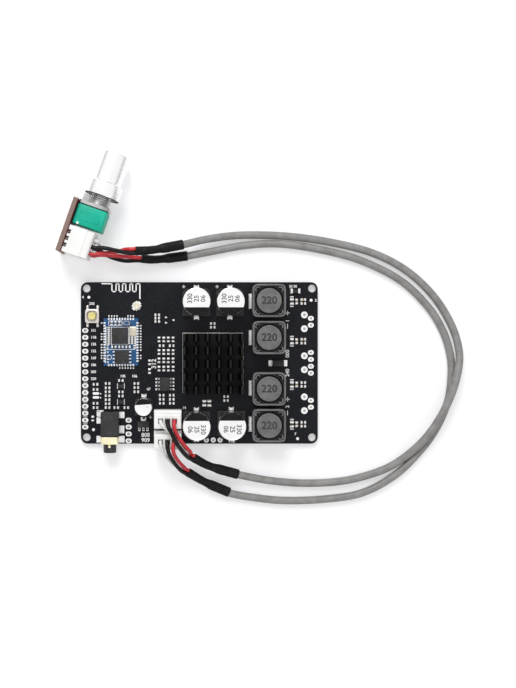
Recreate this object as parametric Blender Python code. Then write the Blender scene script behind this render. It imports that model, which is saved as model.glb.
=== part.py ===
"""Bluetooth stereo amplifier board with a remote volume control on two shielded leads.

The frame is that of the main board: X along its long side, Y towards the volume control, Z up,
with the origin at the middle of the board's underside. All sizes are named in millimetres and
turned into metres by MM.
"""
import math

import bmesh
import bpy
from mathutils import Matrix, Vector

MM = 0.001

# Clearances, and the step that keeps two faces of one piece from lying in one plane
GAP = 0.3
RUNNING_GAP = 0.15
STEP = 0.05

# Main board
BOARD_LENGTH = 87.3
BOARD_WIDTH = 59.5
BOARD_THICKNESS = 1.6
BOARD_CORNER = 2.5
MOUNTING_HOLE = 2.9
MOUNTING_HOLE_INSET = (2.1, 2.3)
PAD_PITCH = 2.54
PAD_HOLE = 1.0
SPEAKER_HOLE = 1.2
SUPPLY_HOLE = 0.9
SIDE_PADS = 15
SIDE_ROW_INSET = 1.61
SIDE_ROW_START = 11.94
SERVICE_PADS = 4
SERVICE_ROW = (-26.05, -21.1)
RING_PADS = 3
RING_ROW = (2.58, -28.4)
SPEAKER_INSET = 4.95
SPEAKER_ROWS = (17.7, 12.6, 2.6, -2.5, -12.5, -17.6)
SENSE_INSET = 2.55
SENSE_ROWS = (16.4, 13.9, 3.83, 1.29, -1.25, -3.76, -13.8, -16.3)

# Chip parts soldered on the main board: length, width and height of each size
CHIP_SMALL = (1.6, 0.8, 0.5)
CHIP_LARGE = (2.0, 1.25, 0.8)
CHIP_LONG = (3.2, 1.6, 0.9)
LEFT_CHIPS_INSET = 5.4
LEFT_UPRIGHT_INSET = 4.4
RIGHT_LARGE_INSET = 9.55
RIGHT_SMALL_INSET = 7.8
RIGHT_FLAT_INSET = 5.35
RIGHT_LONG_INSET = 8.3
FILTER_ROWS = (22.6, 8.0, -7.95, -22.6)
FLAT_CHIP_SPACING = 1.4
FUSE_SIZE = (4.1, 2.1, 2.2)
FUSE_PLACE = (28.9, -0.1)
FUSE_CAP = (1.4, 2.2, 0.6)
SMALL_OUTLINE_SIZE = (3.9, 4.9, 1.5)
LEAD_PITCH = 1.27
LEAD_WIDTH = 0.45
LEAD_REACH = 1.0
LEAD_HEIGHT = 0.5
BODY_STEP = 0.1
AUDIO_CHIP_PLACE = (-12.7, -7.8)
REGULATOR_SIZE = (4.5, 2.5, 1.5)
REGULATOR_LEG = (0.44, 0.9, 0.4)
REGULATOR_LEG_PITCH = 1.5
REGULATOR_TAB = (1.6, 0.8)
REGULATOR_PLACE = (-20.6, -22.6)

# Heatsink and the amplifier chip under it
SINK_PLACE = (4.95, -0.2)
SINK_SIDE = 22.0
SINK_BASE = 2.0
SINK_HEIGHT = 9.0
FIN_COLUMNS = 6
FIN_ROWS = 5
FIN_THICKNESS = 1.1
FIN_CUT = 1.6
FIN_TAPER = 0.12
AMP_CHIP_SIZE = (6.1, 11.0, 1.1)
AMP_CHIP_LEAD_COUNT = 16
AMP_CHIP_PITCH = 0.65
AMP_CHIP_LEAD = 0.3

# Bluetooth module
MODULE_PLACE = (-28.8, 7.7)
MODULE_SIZE = (12.7, 17.5, 0.8)
MODULE_PAD_PITCH = 1.0
MODULE_PAD_MARGIN = 1.5
MODULE_NOTCH = (0.28, 0.17, 0.3)
RADIO_CHIP_SIZE = (5.8, 5.8, 0.9)
RADIO_CHIP_X = -0.4
RADIO_CHIP_INSET = 3.55
MEMORY_CHIP_SIZE = (5.3, 5.0, 1.6)
MEMORY_CHIP_X = 0.4
MEMORY_CHIP_INSET = 0.75
MEMORY_LEAD_REACH = 0.8
CRYSTAL_SIZE = (2.2, 2.8, 0.7)
CRYSTAL_INSET = (1.95, 4.85)
ANTENNA_COIL_SIZE = (2.6, 1.5, 0.9)
ANTENNA_COIL_INSET = 4.25
TOP_ROW_INSET = 1.85
TOP_ROW_CHIPS = (-3.4, -2.0, -0.6)
MODULE_CHIP = (1.5, 0.8, 0.45)
MODULE_CHIP_TINY = (0.6, 1.0, 0.35)
MIDDLE_ROW_DROP = 1.15
MIDDLE_ROW_X = 2.6
MIDDLE_ROW_INSET = 1.45

# Electrolytic capacitors
CAN_PLACES = ((-1.07, 22.3), (11.24, 22.3), (-1.07, -22.7), (11.75, -22.6))
CAN_DIAMETER = 10.0
CAN_HEIGHT = 8.6
CAN_BASE_CHAMFER = 1.4
SMALL_CAN_PLACE = (-20.4, -15.95)
SMALL_CAN_DIAMETER = 6.3
SMALL_CAN_HEIGHT = 4.6
SMALL_CAN_BASE_CHAMFER = 0.88
CAN_FOOT = (0.5, 0.6)
CAN_CRIMP = (0.4, 0.5)
CAN_CRIMP_RISE = 1.9
CAN_SHOULDER = 0.3
CAN_BASE_MARGIN = 0.15
CAN_BASE_LIFT = 0.2
CAN_BASE_THICKNESS = 1.1
CAN_POST_HEIGHT = 0.9
CAN_POST_EDGE = 0.15
CAN_TAB = (1.0, 1.3, 0.45)

# Shielded output inductors
COIL_X = 25.2
COIL_ROWS = (22.7, 9.3, -9.25, -22.5)
COIL_SIDE = 12.0
COIL_HEIGHT = 7.8
COIL_CORNER = 2.0
COIL_BEVEL = 0.35
COIL_LIFT = 0.3
COIL_FLOOR = 0.3
COIL_BORE = 10.4
COIL_BORE_POWER = 6
COIL_TAB = (1.2, 5.6, 0.6)
DRUM_DIAMETER = 9.1
DRUM_WAIST = 6.0
DRUM_FLANGE = 1.8
DRUM_SLOPE = 0.3
DRUM_EDGE = 0.25
DRUM_DROP = 0.3

# Mode switch
SWITCH_INSET = 4.35
SWITCH_Y = 17.2
SWITCH_SIDE = 5.1
SWITCH_EDGE = 0.2
SWITCH_CORNER = 0.8
SWITCH_HEIGHT = 2.6
SWITCH_LEG = (0.7, 0.85, 0.35)
SWITCH_LEG_SPACING = 3.72
BUTTON_SIDE = 3.0
BUTTON_CORNER = 0.9
BUTTON_EDGE = 0.2
BUTTON_RISE = 0.7
BUTTON_TRAVEL = 0.25
SWITCH_FLOOR = 0.8

# Antenna socket, turned by an eighth of a turn
ANTENNA_PLACE = (-23.1, 21.0)
ANTENNA_TURN = 45.0
ANTENNA_SIDE = 2.7
ANTENNA_TAB = (0.55, 1.2)
ANTENNA_BASE = 0.5
ANTENNA_RING = 2.0
ANTENNA_RING_HEIGHT = 1.3
ANTENNA_RING_WALL = 0.25
ANTENNA_PIN = 0.6
ANTENNA_PIN_DROP = 0.2

# Headphone jack
JACK_PLACE = (-32.7, -17.9)
JACK_WIDTH = 6.5
JACK_HEIGHT = 5.0
JACK_LENGTH = 8.7
JACK_CORNER = 0.4
JACK_BORE = 3.6
JACK_BORE_END = 1.5
JACK_NOSE_DIAMETER = 4.7
JACK_NOSE = 2.8
JACK_BAND = 2.7
JACK_BAND_HEIGHT = 5.4
JACK_BAND_CORNER = 1.0
JACK_TAB = (1.25, 1.8, 0.4)
JACK_LEFT_TABS = (1.0, 3.4)
JACK_RIGHT_TABS = (1.3, 6.6)

# Three-way wire headers and their plugs
PIN_PITCH = 2.5
PINS = 3
PIN_SIDE = 0.64
PIN_TAIL = 0.4
PIN_HOLE = 1.4
HEADER_LENGTH = 9.9
HEADER_DEPTH = 5.75
HEADER_HEIGHT = 7.0
HEADER_WALL = 0.8
HEADER_BACK = 0.9
HEADER_FLOOR = 2.0
HEADER_FOOT = (1.0, 1.1)
HEADER_SLOT = (1.2, 3.6)
HEADER_SLOT_PLACE = 2.67
PIN_TOP = 5.4
PLUG_TOP = 9.8
PLUG_INSET = 0.1
PLUG_BEVEL = (0.35, 0.4)
PLUG_CAVITY = 1.9
BOARD_HEADERS = ((-11.5, -20.7), (-11.5, -28.2))

# Volume control, standing on the edge of its own small board
CONTROL_PLACE = (-35.5, 60.4)
CONTROL_TURN = -19.3
AXIS_HEIGHT = 7.0
CONTROL_BOARD_LENGTH = 20.2
CONTROL_BOARD_HEIGHT = 14.0
CONTROL_BOARD_THICKNESS = 1.6
CONTROL_BOARD_CORNER = 0.4
CONTROL_PIN_TAIL = 0.8
CONTROL_BOARD_START = 3.7
CONTROL_BOARD_SETBACK = 7.0
CONTROL_HEADER_PLACE = 18.5
CONTROL_HEADER_RISE = 3.4
POT_LENGTH = 7.4
POT_WIDTH = 11.2
POT_HEIGHT = 9.8
POT_START = 5.1
POT_CHAMFER = 0.8
POT_BEVEL = 0.4
PLATE_THICKNESS = 1.3
KEY_SIZE = (1.0, 0.8, 0.9)
KEY_OFFSET = 1.4
BUSHING_DIAMETER = 7.4
BUSHING_LENGTH = 4.2
SHAFT_DIAMETER = 6.0
SHAFT_FLAT_DEPTH = 1.5
KNOB_LENGTH = 16.5
KNOB_SKIRT_DIAMETER = 13.2
KNOB_SKIRT = 5.0
KNOB_GRIP_DIAMETER = 10.9
KNOB_EDGE = 0.6
KNOB_SKIRT_EDGE = (0.4, 0.3)
KNOB_FILLET = (0.35, 0.55)
KNOB_HOLLOW = 2.6
KNOB_RIM = 0.9
SHAFT_IN_KNOB = 9.5

# Leads
CABLE_DIAMETER = 2.8
SLEEVE_START = 3.4
SLEEVE_WAIST = 3.0
SLEEVE_END = 3.7
WIRE_DIAMETER = 1.2
SHIELD_WIRE_DIAMETER = 1.5
WIRE_IN_PLUG = 1.2
WIRE_STEP = 2.4
CABLE_STEP = 8.4
SLEEVE_STEP = 2.8
SLEEVE_WAIST_SPAN = (0.4, 0.25)
FACETS = 16
PAD_FACETS = 6
MOUNTING_HOLE_FACETS = 24
PIN_FACETS = 8
KNOB_FACETS = 24
BORE_FACETS = 32

# Places that follow from the sizes above
LEFT_EDGE = -BOARD_LENGTH / 2
RIGHT_EDGE = BOARD_LENGTH / 2
BOARD_TOP = BOARD_THICKNESS
FLOOR = -PIN_TAIL
SEAT = BOARD_TOP + GAP
CONTROL_AXIS = FLOOR + AXIS_HEIGHT


def finish(name, colour, roughness, metallic=0.0):
    """Give a new Principled material of one colour."""
    material = bpy.data.materials.new(name)
    material.use_nodes = True
    shader = material.node_tree.nodes["Principled BSDF"]
    shader.inputs["Base Color"].default_value = (*colour, 1.0)
    shader.inputs["Roughness"].default_value = roughness
    shader.inputs["Metallic"].default_value = metallic
    return material


def place_object(name, data, material, parent=None, spot=(0, 0, 0), turn=0.0):
    """Link an object at a spot in millimetres, turned about Z by degrees."""
    thing = bpy.data.objects.new(name, data)
    bpy.context.collection.objects.link(thing)
    thing.location = Vector(spot) * MM
    thing.rotation_euler = (0, 0, math.radians(turn))
    thing.parent = parent
    data.materials.append(material)
    return thing


def finish_mesh(bm, name, smooth_angle=None):
    """Turn a bmesh in millimetres into a mesh in metres with its faces pointing out."""
    bmesh.ops.remove_doubles(bm, verts=bm.verts, dist=0.0005)
    bmesh.ops.recalc_face_normals(bm, faces=bm.faces)
    bmesh.ops.scale(bm, vec=(MM, MM, MM), verts=bm.verts)
    mesh = bpy.data.meshes.new(name)
    bm.to_mesh(mesh)
    bm.free()
    if smooth_angle is not None:
        mesh.shade_smooth()
        mesh.set_sharp_from_angle(angle=math.radians(smooth_angle))
    return mesh


def circle(radius, sides=FACETS, centre=(0, 0), start=0.5):
    """Points of a round outline."""
    step = 2 * math.pi / sides
    return [(centre[0] + radius * math.cos((i + start) * step),
             centre[1] + radius * math.sin((i + start) * step)) for i in range(sides)]


def rectangle(length, width, centre=(0, 0)):
    """Corners of a rectangle about a centre."""
    x, y = length / 2, width / 2
    return [(centre[0] + a * x, centre[1] + b * y) for a, b in ((-1, -1), (1, -1), (1, 1), (-1, 1))]


def rounded(length, width, radius, steps=4, centre=(0, 0)):
    """Outline of a rectangle with round corners, or cut ones where steps is 1."""
    points = []
    for quarter, (a, b) in enumerate(((1, 1), (-1, 1), (-1, -1), (1, -1))):
        corner = (centre[0] + a * (length / 2 - radius), centre[1] + b * (width / 2 - radius))
        for i in range(steps + 1):
            angle = math.pi / 2 * (quarter + i / steps)
            points.append((corner[0] + radius * math.cos(angle), corner[1] + radius * math.sin(angle)))
    return points


def shifted(points, dx, dy):
    """Move an outline in its plane."""
    return [(x + dx, y + dy) for x, y in points]


def ring(bm, points, z):
    """Add a closed loop of edges at one height."""
    verts = [bm.verts.new((x, y, z)) for x, y in points]
    edges = [bm.edges.new((verts[i - 1], verts[i])) for i in range(len(verts))]
    return verts, edges


def wall(bm, low, high):
    """Join two loops of the same number of points with quads."""
    count = len(low)
    for i in range(count):
        bm.faces.new((low[i - 1], low[i], high[i], high[i - 1]))


def terrace(bm, loop_edges, z, steps, bores=()):
    """Close a loop at height z, raising or sinking a step from it for each (outline, height, steps).

    A step may be followed by a fourth value, the outline of its top, for a tapered step.
    """
    edges = list(loop_edges)
    for _, bore_edges in bores:
        edges += bore_edges
    for step in steps:
        foot, foot_edges = ring(bm, step[0], z)
        edges += foot_edges
        top_points = step[3] if len(step) > 3 else step[0]
        top, top_edges = ring(bm, top_points, step[1])
        wall(bm, foot, top)
        terrace(bm, top_edges, step[1], step[2])
    bmesh.ops.triangle_fill(bm, edges=edges, use_beauty=True)


def block(outline, z0, z1, steps=(), bores=(), under=(), top_outline=None):
    """Solid between two heights with steps on its top, steps under it and through bores."""
    bm = bmesh.new()
    low, low_edges = ring(bm, outline, z0)
    high, high_edges = ring(bm, top_outline or outline, z1)
    low_bores = [ring(bm, bore, z0) for bore in bores]
    high_bores = [ring(bm, bore, z1) for bore in bores]
    wall(bm, low, high)
    for (bottom, _), (top, _) in zip(low_bores, high_bores):
        wall(bm, bottom, top)
    terrace(bm, low_edges, z0, under, low_bores)
    terrace(bm, high_edges, z1, steps, high_bores)
    return bm


def turned(profile, sides=FACETS):
    """Solid of revolution about Z from (radius, z) points; it starts and ends on the axis."""
    bm = bmesh.new()
    rings = []
    for radius, z in profile:
        if radius == 0:
            rings.append([bm.verts.new((0, 0, z))])
        else:
            rings.append([bm.verts.new((x, y, z)) for x, y in circle(radius, sides)])
    for low, high in zip(rings, rings[1:]):
        for i in range(sides):
            if len(low) == 1:
                bm.faces.new((low[0], high[i], high[i - 1]))
            elif len(high) == 1:
                bm.faces.new((low[i - 1], low[i], high[0]))
            else:
                bm.faces.new((low[i - 1], low[i], high[i], high[i - 1]))
    return bm


def comb(length, width, reach, lead, offsets):
    """Outline of a chip package with leads on its two X sides at the given Y offsets."""
    points = []
    for side in (1, -1):
        for offset in offsets if side > 0 else reversed(offsets):
            points += [(side * length / 2, offset - side * lead / 2),
                       (side * (length / 2 + reach), offset - side * lead / 2),
                       (side * (length / 2 + reach), offset + side * lead / 2),
                       (side * length / 2, offset + side * lead / 2)]
        points += [(side * length / 2, side * width / 2), (-side * length / 2, side * width / 2)]
    return points


def package(size, z, lead_count, pitch, lead=LEAD_WIDTH, centre=(0, 0), reach=LEAD_REACH):
    """A leaded chip as a step: leads low down, the body rising from them."""
    offsets = [(i - (lead_count - 1) / 2) * pitch for i in range(lead_count)]
    low = shifted(comb(size[0], size[1], reach, lead, offsets), *centre)
    body = rectangle(size[0] - 2 * BODY_STEP, size[1] - 2 * BODY_STEP, centre)
    top = rectangle(size[0] - 4 * BODY_STEP, size[1] - 4 * BODY_STEP, centre)
    return low, z + LEAD_HEIGHT, [(body, z + size[2], [], top)]


# Chip parts of the main board

def chip_steps():
    """Steps for the chip parts soldered on the board: small, large and the leaded ones."""
    steps = []

    def chip(x, y, upright=False, size=CHIP_SMALL):
        length, width = (size[1], size[0]) if upright else (size[0], size[1])
        steps.append((rectangle(length, width, (x, y)), BOARD_TOP + size[2], []))

    for x in (-14.85, -13.1, -11.4, -9.65):
        for y in (8.65, 4.0, 0.95, -2.1):
            chip(x, y, upright=True)
    for y in (17.7, 16.5, 15.3):
        chip(-15.5, y)
    for x in (-13.9, -10.2):
        chip(x, 6.35)
    for y in (0.2, -3.0):
        chip(-18.35, y, upright=True)
    for y in (-11.9, -13.4, -14.9):
        chip(-13.85, y)
        chip(-10.15, y)
    for y in (-7.9, -9.8, -14.9, -16.5):
        chip(LEFT_EDGE + LEFT_CHIPS_INSET, y)
    for y in (-7.6, -9.2, -10.65, -12.1, -13.6, -15.05, -16.5):
        chip(-33.8, y)
    for y in (-6.5, -10.7, -12.2):
        chip(-28.9, y)
    for y in (-8.55, -14.4):
        chip(-28.9, y, size=CHIP_LARGE)
    for x in (-30.6, -26.9):
        chip(x, -16.5)
    for y in (-7.6, -9.1, -10.65):
        chip(-23.2, y)
    chip(LEFT_EDGE + LEFT_UPRIGHT_INSET, -20.5, upright=True)
    for y in (14.5, 13.1):
        chip(4.95, y)
    for y in (-12.4, -13.85):
        chip(9.85, y)
    for x in (1.85, 3.7):
        chip(x, -14.85, upright=True, size=CHIP_LARGE)
    for y in FILTER_ROWS:
        chip(RIGHT_EDGE - RIGHT_LARGE_INSET, y, upright=True, size=CHIP_LARGE)
        chip(RIGHT_EDGE - RIGHT_SMALL_INSET, y, upright=True)
        chip(RIGHT_EDGE - RIGHT_FLAT_INSET, y + FLAT_CHIP_SPACING / 2)
        chip(RIGHT_EDGE - RIGHT_FLAT_INSET, y - FLAT_CHIP_SPACING / 2)
    chip(RIGHT_EDGE - RIGHT_LONG_INSET, 26.5, size=CHIP_LONG)

    steps.append(package(SMALL_OUTLINE_SIZE, BOARD_TOP, 4, LEAD_PITCH, centre=AUDIO_CHIP_PLACE))
    steps.append(regulator_step())
    reach, cap_width, cap_height = FUSE_CAP
    cap = rectangle(FUSE_SIZE[0] + 2 * reach, cap_width, FUSE_PLACE)
    body = rectangle(*FUSE_SIZE[:2], FUSE_PLACE)
    steps.append((cap, BOARD_TOP + cap_height, [(body, BOARD_TOP + FUSE_SIZE[2], [])]))
    return steps


def regulator_step():
    """Voltage regulator: three legs on one side, its cooling tab on the other."""
    length, width, height = REGULATOR_SIZE
    leg, leg_reach, leg_height = REGULATOR_LEG
    tab, tab_reach = REGULATOR_TAB
    front, rear = -width / 2, width / 2
    points = [(-length / 2, front)]
    for i in (-1, 0, 1):
        x = i * REGULATOR_LEG_PITCH
        points += [(x - leg / 2, front), (x - leg / 2, front - leg_reach),
                   (x + leg / 2, front - leg_reach), (x + leg / 2, front)]
    points += [(length / 2, front), (length / 2, rear), (tab / 2, rear), (tab / 2, rear + tab_reach),
               (-tab / 2, rear + tab_reach), (-tab / 2, rear), (-length / 2, rear)]
    outline = shifted(points, *REGULATOR_PLACE)
    body = rectangle(length - BODY_STEP, width - BODY_STEP, REGULATOR_PLACE)
    top = rectangle(length - 4 * BODY_STEP, width - 4 * BODY_STEP, REGULATOR_PLACE)
    return outline, BOARD_TOP + leg_height, [(body, BOARD_TOP + height, [], top)]


def board_bores():
    """Outlines of every hole through the main board."""
    bores = []
    for a in (-1, 1):
        for b in (-1, 1):
            corner = (a * (RIGHT_EDGE - MOUNTING_HOLE_INSET[0]), b * (BOARD_WIDTH / 2 - MOUNTING_HOLE_INSET[1]))
            bores.append(circle(MOUNTING_HOLE / 2, MOUNTING_HOLE_FACETS, corner))
    places = [(LEFT_EDGE + SIDE_ROW_INSET, SIDE_ROW_START - i * PAD_PITCH) for i in range(SIDE_PADS)]
    places += [(SERVICE_ROW[0], SERVICE_ROW[1] - i * PAD_PITCH) for i in range(SERVICE_PADS)]
    places += [(RING_ROW[0] + i * PAD_PITCH, RING_ROW[1]) for i in range(RING_PADS)]
    bores += [circle(PAD_HOLE / 2, PAD_FACETS, place) for place in places]
    bores += [circle(SPEAKER_HOLE / 2, PAD_FACETS, (RIGHT_EDGE - SPEAKER_INSET, y)) for y in SPEAKER_ROWS]
    bores += [circle(SUPPLY_HOLE / 2, PAD_FACETS, (RIGHT_EDGE - SENSE_INSET, y)) for y in SENSE_ROWS]
    for x, y in BOARD_HEADERS:
        bores += [circle(PIN_HOLE / 2, PAD_FACETS, (x + px, y)) for px in pin_offsets()]
    return bores


def pin_offsets():
    """Pin places along a header."""
    return [(i - (PINS - 1) / 2) * PIN_PITCH for i in range(PINS)]


def main_board():
    """The black board with its holes and the chip parts soldered flat on it."""
    outline = rounded(BOARD_LENGTH, BOARD_WIDTH, BOARD_CORNER, 6)
    bm = block(outline, 0, BOARD_TOP, chip_steps(), board_bores())
    material = finish("black_board", (0.016, 0.018, 0.019), 0.42)
    place_object("main_board", finish_mesh(bm, "main_board"), material)


def heatsink():
    """Black cross-cut heatsink: rows of tapered pins on a base, over the amplifier chip."""
    bottom = SEAT + AMP_CHIP_SIZE[2] + GAP
    pin_length = (SINK_SIDE - (FIN_ROWS - 1) * FIN_CUT) / FIN_ROWS
    pitch_x = (SINK_SIDE - FIN_THICKNESS) / (FIN_COLUMNS - 1)
    pins = []
    for column in range(FIN_COLUMNS):
        for row in range(FIN_ROWS):
            x = -SINK_SIDE / 2 + FIN_THICKNESS / 2 + column * pitch_x
            y = -SINK_SIDE / 2 + pin_length / 2 + row * (pin_length + FIN_CUT)
            foot = rectangle(FIN_THICKNESS - STEP, pin_length - STEP, (x, y))
            top = rectangle(FIN_THICKNESS - STEP - 2 * FIN_TAPER, pin_length - STEP, (x, y))
            pins.append((foot, bottom + SINK_HEIGHT, [], top))
    bm = block(rectangle(SINK_SIDE, SINK_SIDE), bottom, bottom + SINK_BASE, pins)
    material = finish("black_anodised", (0.012, 0.012, 0.013), 0.4, 0.6)
    place_object("heatsink", finish_mesh(bm, "heatsink"), material, spot=(*SINK_PLACE, 0))


def amplifier_chip():
    """Power amplifier chip in its leaded package under the heatsink."""
    low, z, body = package(AMP_CHIP_SIZE, SEAT, AMP_CHIP_LEAD_COUNT, AMP_CHIP_PITCH, lead=AMP_CHIP_LEAD)
    bm = block(low, SEAT, z, body)
    material = finish("chip_black", (0.02, 0.02, 0.022), 0.55)
    place_object("amplifier_chip", finish_mesh(bm, "amplifier_chip"), material, spot=(*SINK_PLACE, 0))


def module_outline():
    """Outline of the radio module with half-round plated notches on all four sides."""
    width, height = MODULE_SIZE[:2]
    x, y = width / 2, height / 2
    sides = (((x, -y), (0, 1), height), ((x, y), (-1, 0), width),
             ((-x, y), (0, -1), height), ((-x, -y), (1, 0), width))
    half_width, half_root, depth = MODULE_NOTCH
    points = []
    for corner, along, length in sides:
        count = int((length - 2 * MODULE_PAD_MARGIN) / MODULE_PAD_PITCH) + 1
        points.append(corner)
        for i in range(count):
            middle = length / 2 + (i - (count - 1) / 2) * MODULE_PAD_PITCH
            inward = (-along[1], along[0])
            for step, sink in ((-half_width, 0), (-half_root, depth), (half_root, depth), (half_width, 0)):
                run = middle + step
                points.append((corner[0] + along[0] * run + inward[0] * sink,
                               corner[1] + along[1] * run + inward[1] * sink))
    return points


def bluetooth_module():
    """Blue radio board with its radio chip, memory chip and small parts."""
    low, high = SEAT, SEAT + MODULE_SIZE[2]
    side, end = MODULE_SIZE[0] / 2, MODULE_SIZE[1] / 2
    radio_y = end - RADIO_CHIP_INSET - RADIO_CHIP_SIZE[1] / 2
    memory_y = -end + MEMORY_CHIP_INSET + MEMORY_CHIP_SIZE[1] / 2
    row = radio_y - RADIO_CHIP_SIZE[1] / 2 - MIDDLE_ROW_DROP
    top_row = end - TOP_ROW_INSET
    outer_x = side - MIDDLE_ROW_INSET
    coil_place = (side - ANTENNA_COIL_INSET, top_row)
    coil = rounded(*ANTENNA_COIL_SIZE[:2], ANTENNA_COIL_SIZE[1] / 2 - STEP, 3, coil_place)
    tiny_places = [(x, top_row) for x in TOP_ROW_CHIPS] + [(-outer_x, row), (outer_x, row)]
    small = [(rectangle(*CRYSTAL_SIZE[:2], (side - CRYSTAL_INSET[0], end - CRYSTAL_INSET[1])),
              high + CRYSTAL_SIZE[2], [])]
    small += [(rectangle(*MODULE_CHIP[:2], (x, row)), high + MODULE_CHIP[2], [])
              for x in (-MIDDLE_ROW_X, MIDDLE_ROW_X)]
    small.append((coil, high + ANTENNA_COIL_SIZE[2], []))
    small += [(rectangle(*MODULE_CHIP_TINY[:2], place), high + MODULE_CHIP_TINY[2], [])
              for place in tiny_places]
    bm = block(module_outline(), low, high, small)
    blue = finish("blue_board", (0.012, 0.045, 0.26), 0.4)
    place_object("bluetooth_board", finish_mesh(bm, "bluetooth_board"), blue, spot=(*MODULE_PLACE, 0))

    seat = high + GAP
    lid = rectangle(RADIO_CHIP_SIZE[0] - BODY_STEP, RADIO_CHIP_SIZE[1] - BODY_STEP)
    radio = block(rectangle(*RADIO_CHIP_SIZE[:2]), seat, seat + RADIO_CHIP_SIZE[2] / 2,
                  [(lid, seat + RADIO_CHIP_SIZE[2], [])])
    spot = (MODULE_PLACE[0] + RADIO_CHIP_X, MODULE_PLACE[1] + radio_y, 0)
    black = finish("radio_black", (0.018, 0.018, 0.02), 0.5)
    place_object("bluetooth_chip", finish_mesh(radio, "bluetooth_chip"), black, spot=spot)

    low, z, body = package(MEMORY_CHIP_SIZE, seat, 4, LEAD_PITCH, reach=MEMORY_LEAD_REACH)
    spot = (MODULE_PLACE[0] + MEMORY_CHIP_X, MODULE_PLACE[1] + memory_y, 0)
    dark = finish("memory_black", (0.022, 0.022, 0.024), 0.5)
    place_object("flash_chip", finish_mesh(block(low, seat, z, body), "flash_chip"), dark, spot=spot)


def capacitor(label, place, diameter, height, chamfer, polarity):
    """Aluminium can standing between the corner posts of its plastic base, tabs along Y."""
    radius = diameter / 2
    half = radius + CAN_BASE_MARGIN
    low, high = SEAT, SEAT + CAN_BASE_THICKNESS
    cut = half - chamfer
    outline = [(-half, polarity * -half), (half, polarity * -half), (half, polarity * cut),
               (cut, polarity * half), (-cut, polarity * half), (-half, polarity * cut)]
    clear = radius + GAP
    post_edge = half - STEP
    reach = math.sqrt(clear ** 2 - post_edge ** 2) + CAN_POST_EDGE
    first = math.atan2(reach, post_edge)
    last = math.pi / 2 - first
    posts = []
    for a, b in ((1, 1), (-1, 1), (-1, -1), (1, -1)):
        arc = [first + (last - first) * i / 4 for i in range(5)]
        corner = [(post_edge, post_edge)]
        if b == polarity:
            corner = [(post_edge, cut - STEP), (cut - STEP, post_edge)]
        points = [(clear * math.cos(t), clear * math.sin(t)) for t in reversed(arc)] + corner
        posts.append(([(a * x, b * y) for x, y in points], high + CAN_POST_HEIGHT, []))
    bm = block(outline, low + CAN_BASE_LIFT, high, posts)
    base = finish(f"base_black_{label}", (0.015, 0.015, 0.015), 0.5)
    node = f"capacitor_base_{label}"
    thing = place_object(node, finish_mesh(bm, node), base, spot=(*place, 0))
    tab_width, tab_reach, tab_thickness = CAN_TAB
    run = half + tab_reach
    join_boxes(thing, f"tabs_{label}",
               [((-tab_width / 2, -run, low), (tab_width / 2, run, low + tab_thickness))])

    foot = high + GAP
    tip = foot + height
    groove = foot + CAN_CRIMP_RISE
    crimp, crimp_rise = CAN_CRIMP
    profile = [(0, foot), (radius - CAN_FOOT[0], foot), (radius, foot + CAN_FOOT[1]),
               (radius, groove - crimp_rise), (radius - crimp, groove), (radius, groove + crimp_rise),
               (radius, tip - CAN_SHOULDER), (radius - CAN_SHOULDER, tip), (0, tip)]
    silver = finish(f"can_silver_{label}", (0.78, 0.78, 0.79), 0.32, 0.9)
    node = f"capacitor_can_{label}"
    place_object(node, finish_mesh(turned(profile), node, 40), silver, spot=(*place, 0))


def join_boxes(thing, name, boxes):
    """Join boxes, each two corners in the object's own millimetres, to an object by a union."""
    add_boolean(thing, name, boxes, 'UNION')


def cut_boxes(thing, name, boxes):
    """Cut boxes, each two corners in the object's own millimetres, out of an object."""
    add_boolean(thing, name, boxes, 'DIFFERENCE')


def add_boolean(thing, name, boxes, operation):
    """Boolean of an object with boxes, which stay as a hidden helper of the object."""
    bm = bmesh.new()
    for low, high in boxes:
        middle = [(a + b) / 2 for a, b in zip(low, high)]
        size = [abs(b - a) for a, b in zip(low, high)]
        bmesh.ops.create_cube(bm, size=1, matrix=Matrix.Translation(middle) @ Matrix.Diagonal((*size, 1)))
    helper = bpy.data.objects.new(name, finish_mesh(bm, name))
    bpy.context.collection.objects.link(helper)
    helper.parent = thing
    helper.hide_render = True
    helper.display_type = 'WIRE'
    modifier = thing.modifiers.new(name, 'BOOLEAN')
    modifier.operation = operation
    modifier.solver = 'EXACT'
    modifier.object = helper


def squircle(side, power, sides=BORE_FACETS):
    """Square outline with soft corners: radius side/2 / (|cos a|^p + |sin a|^p)^(1/p) at angle a."""
    points = []
    for i in range(sides):
        angle = 2 * math.pi * (i + 0.5) / sides
        spread = abs(math.cos(angle)) ** power + abs(math.sin(angle)) ** power
        radius = side / 2 / spread ** (1 / power)
        points.append((radius * math.cos(angle), radius * math.sin(angle)))
    return points


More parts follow.
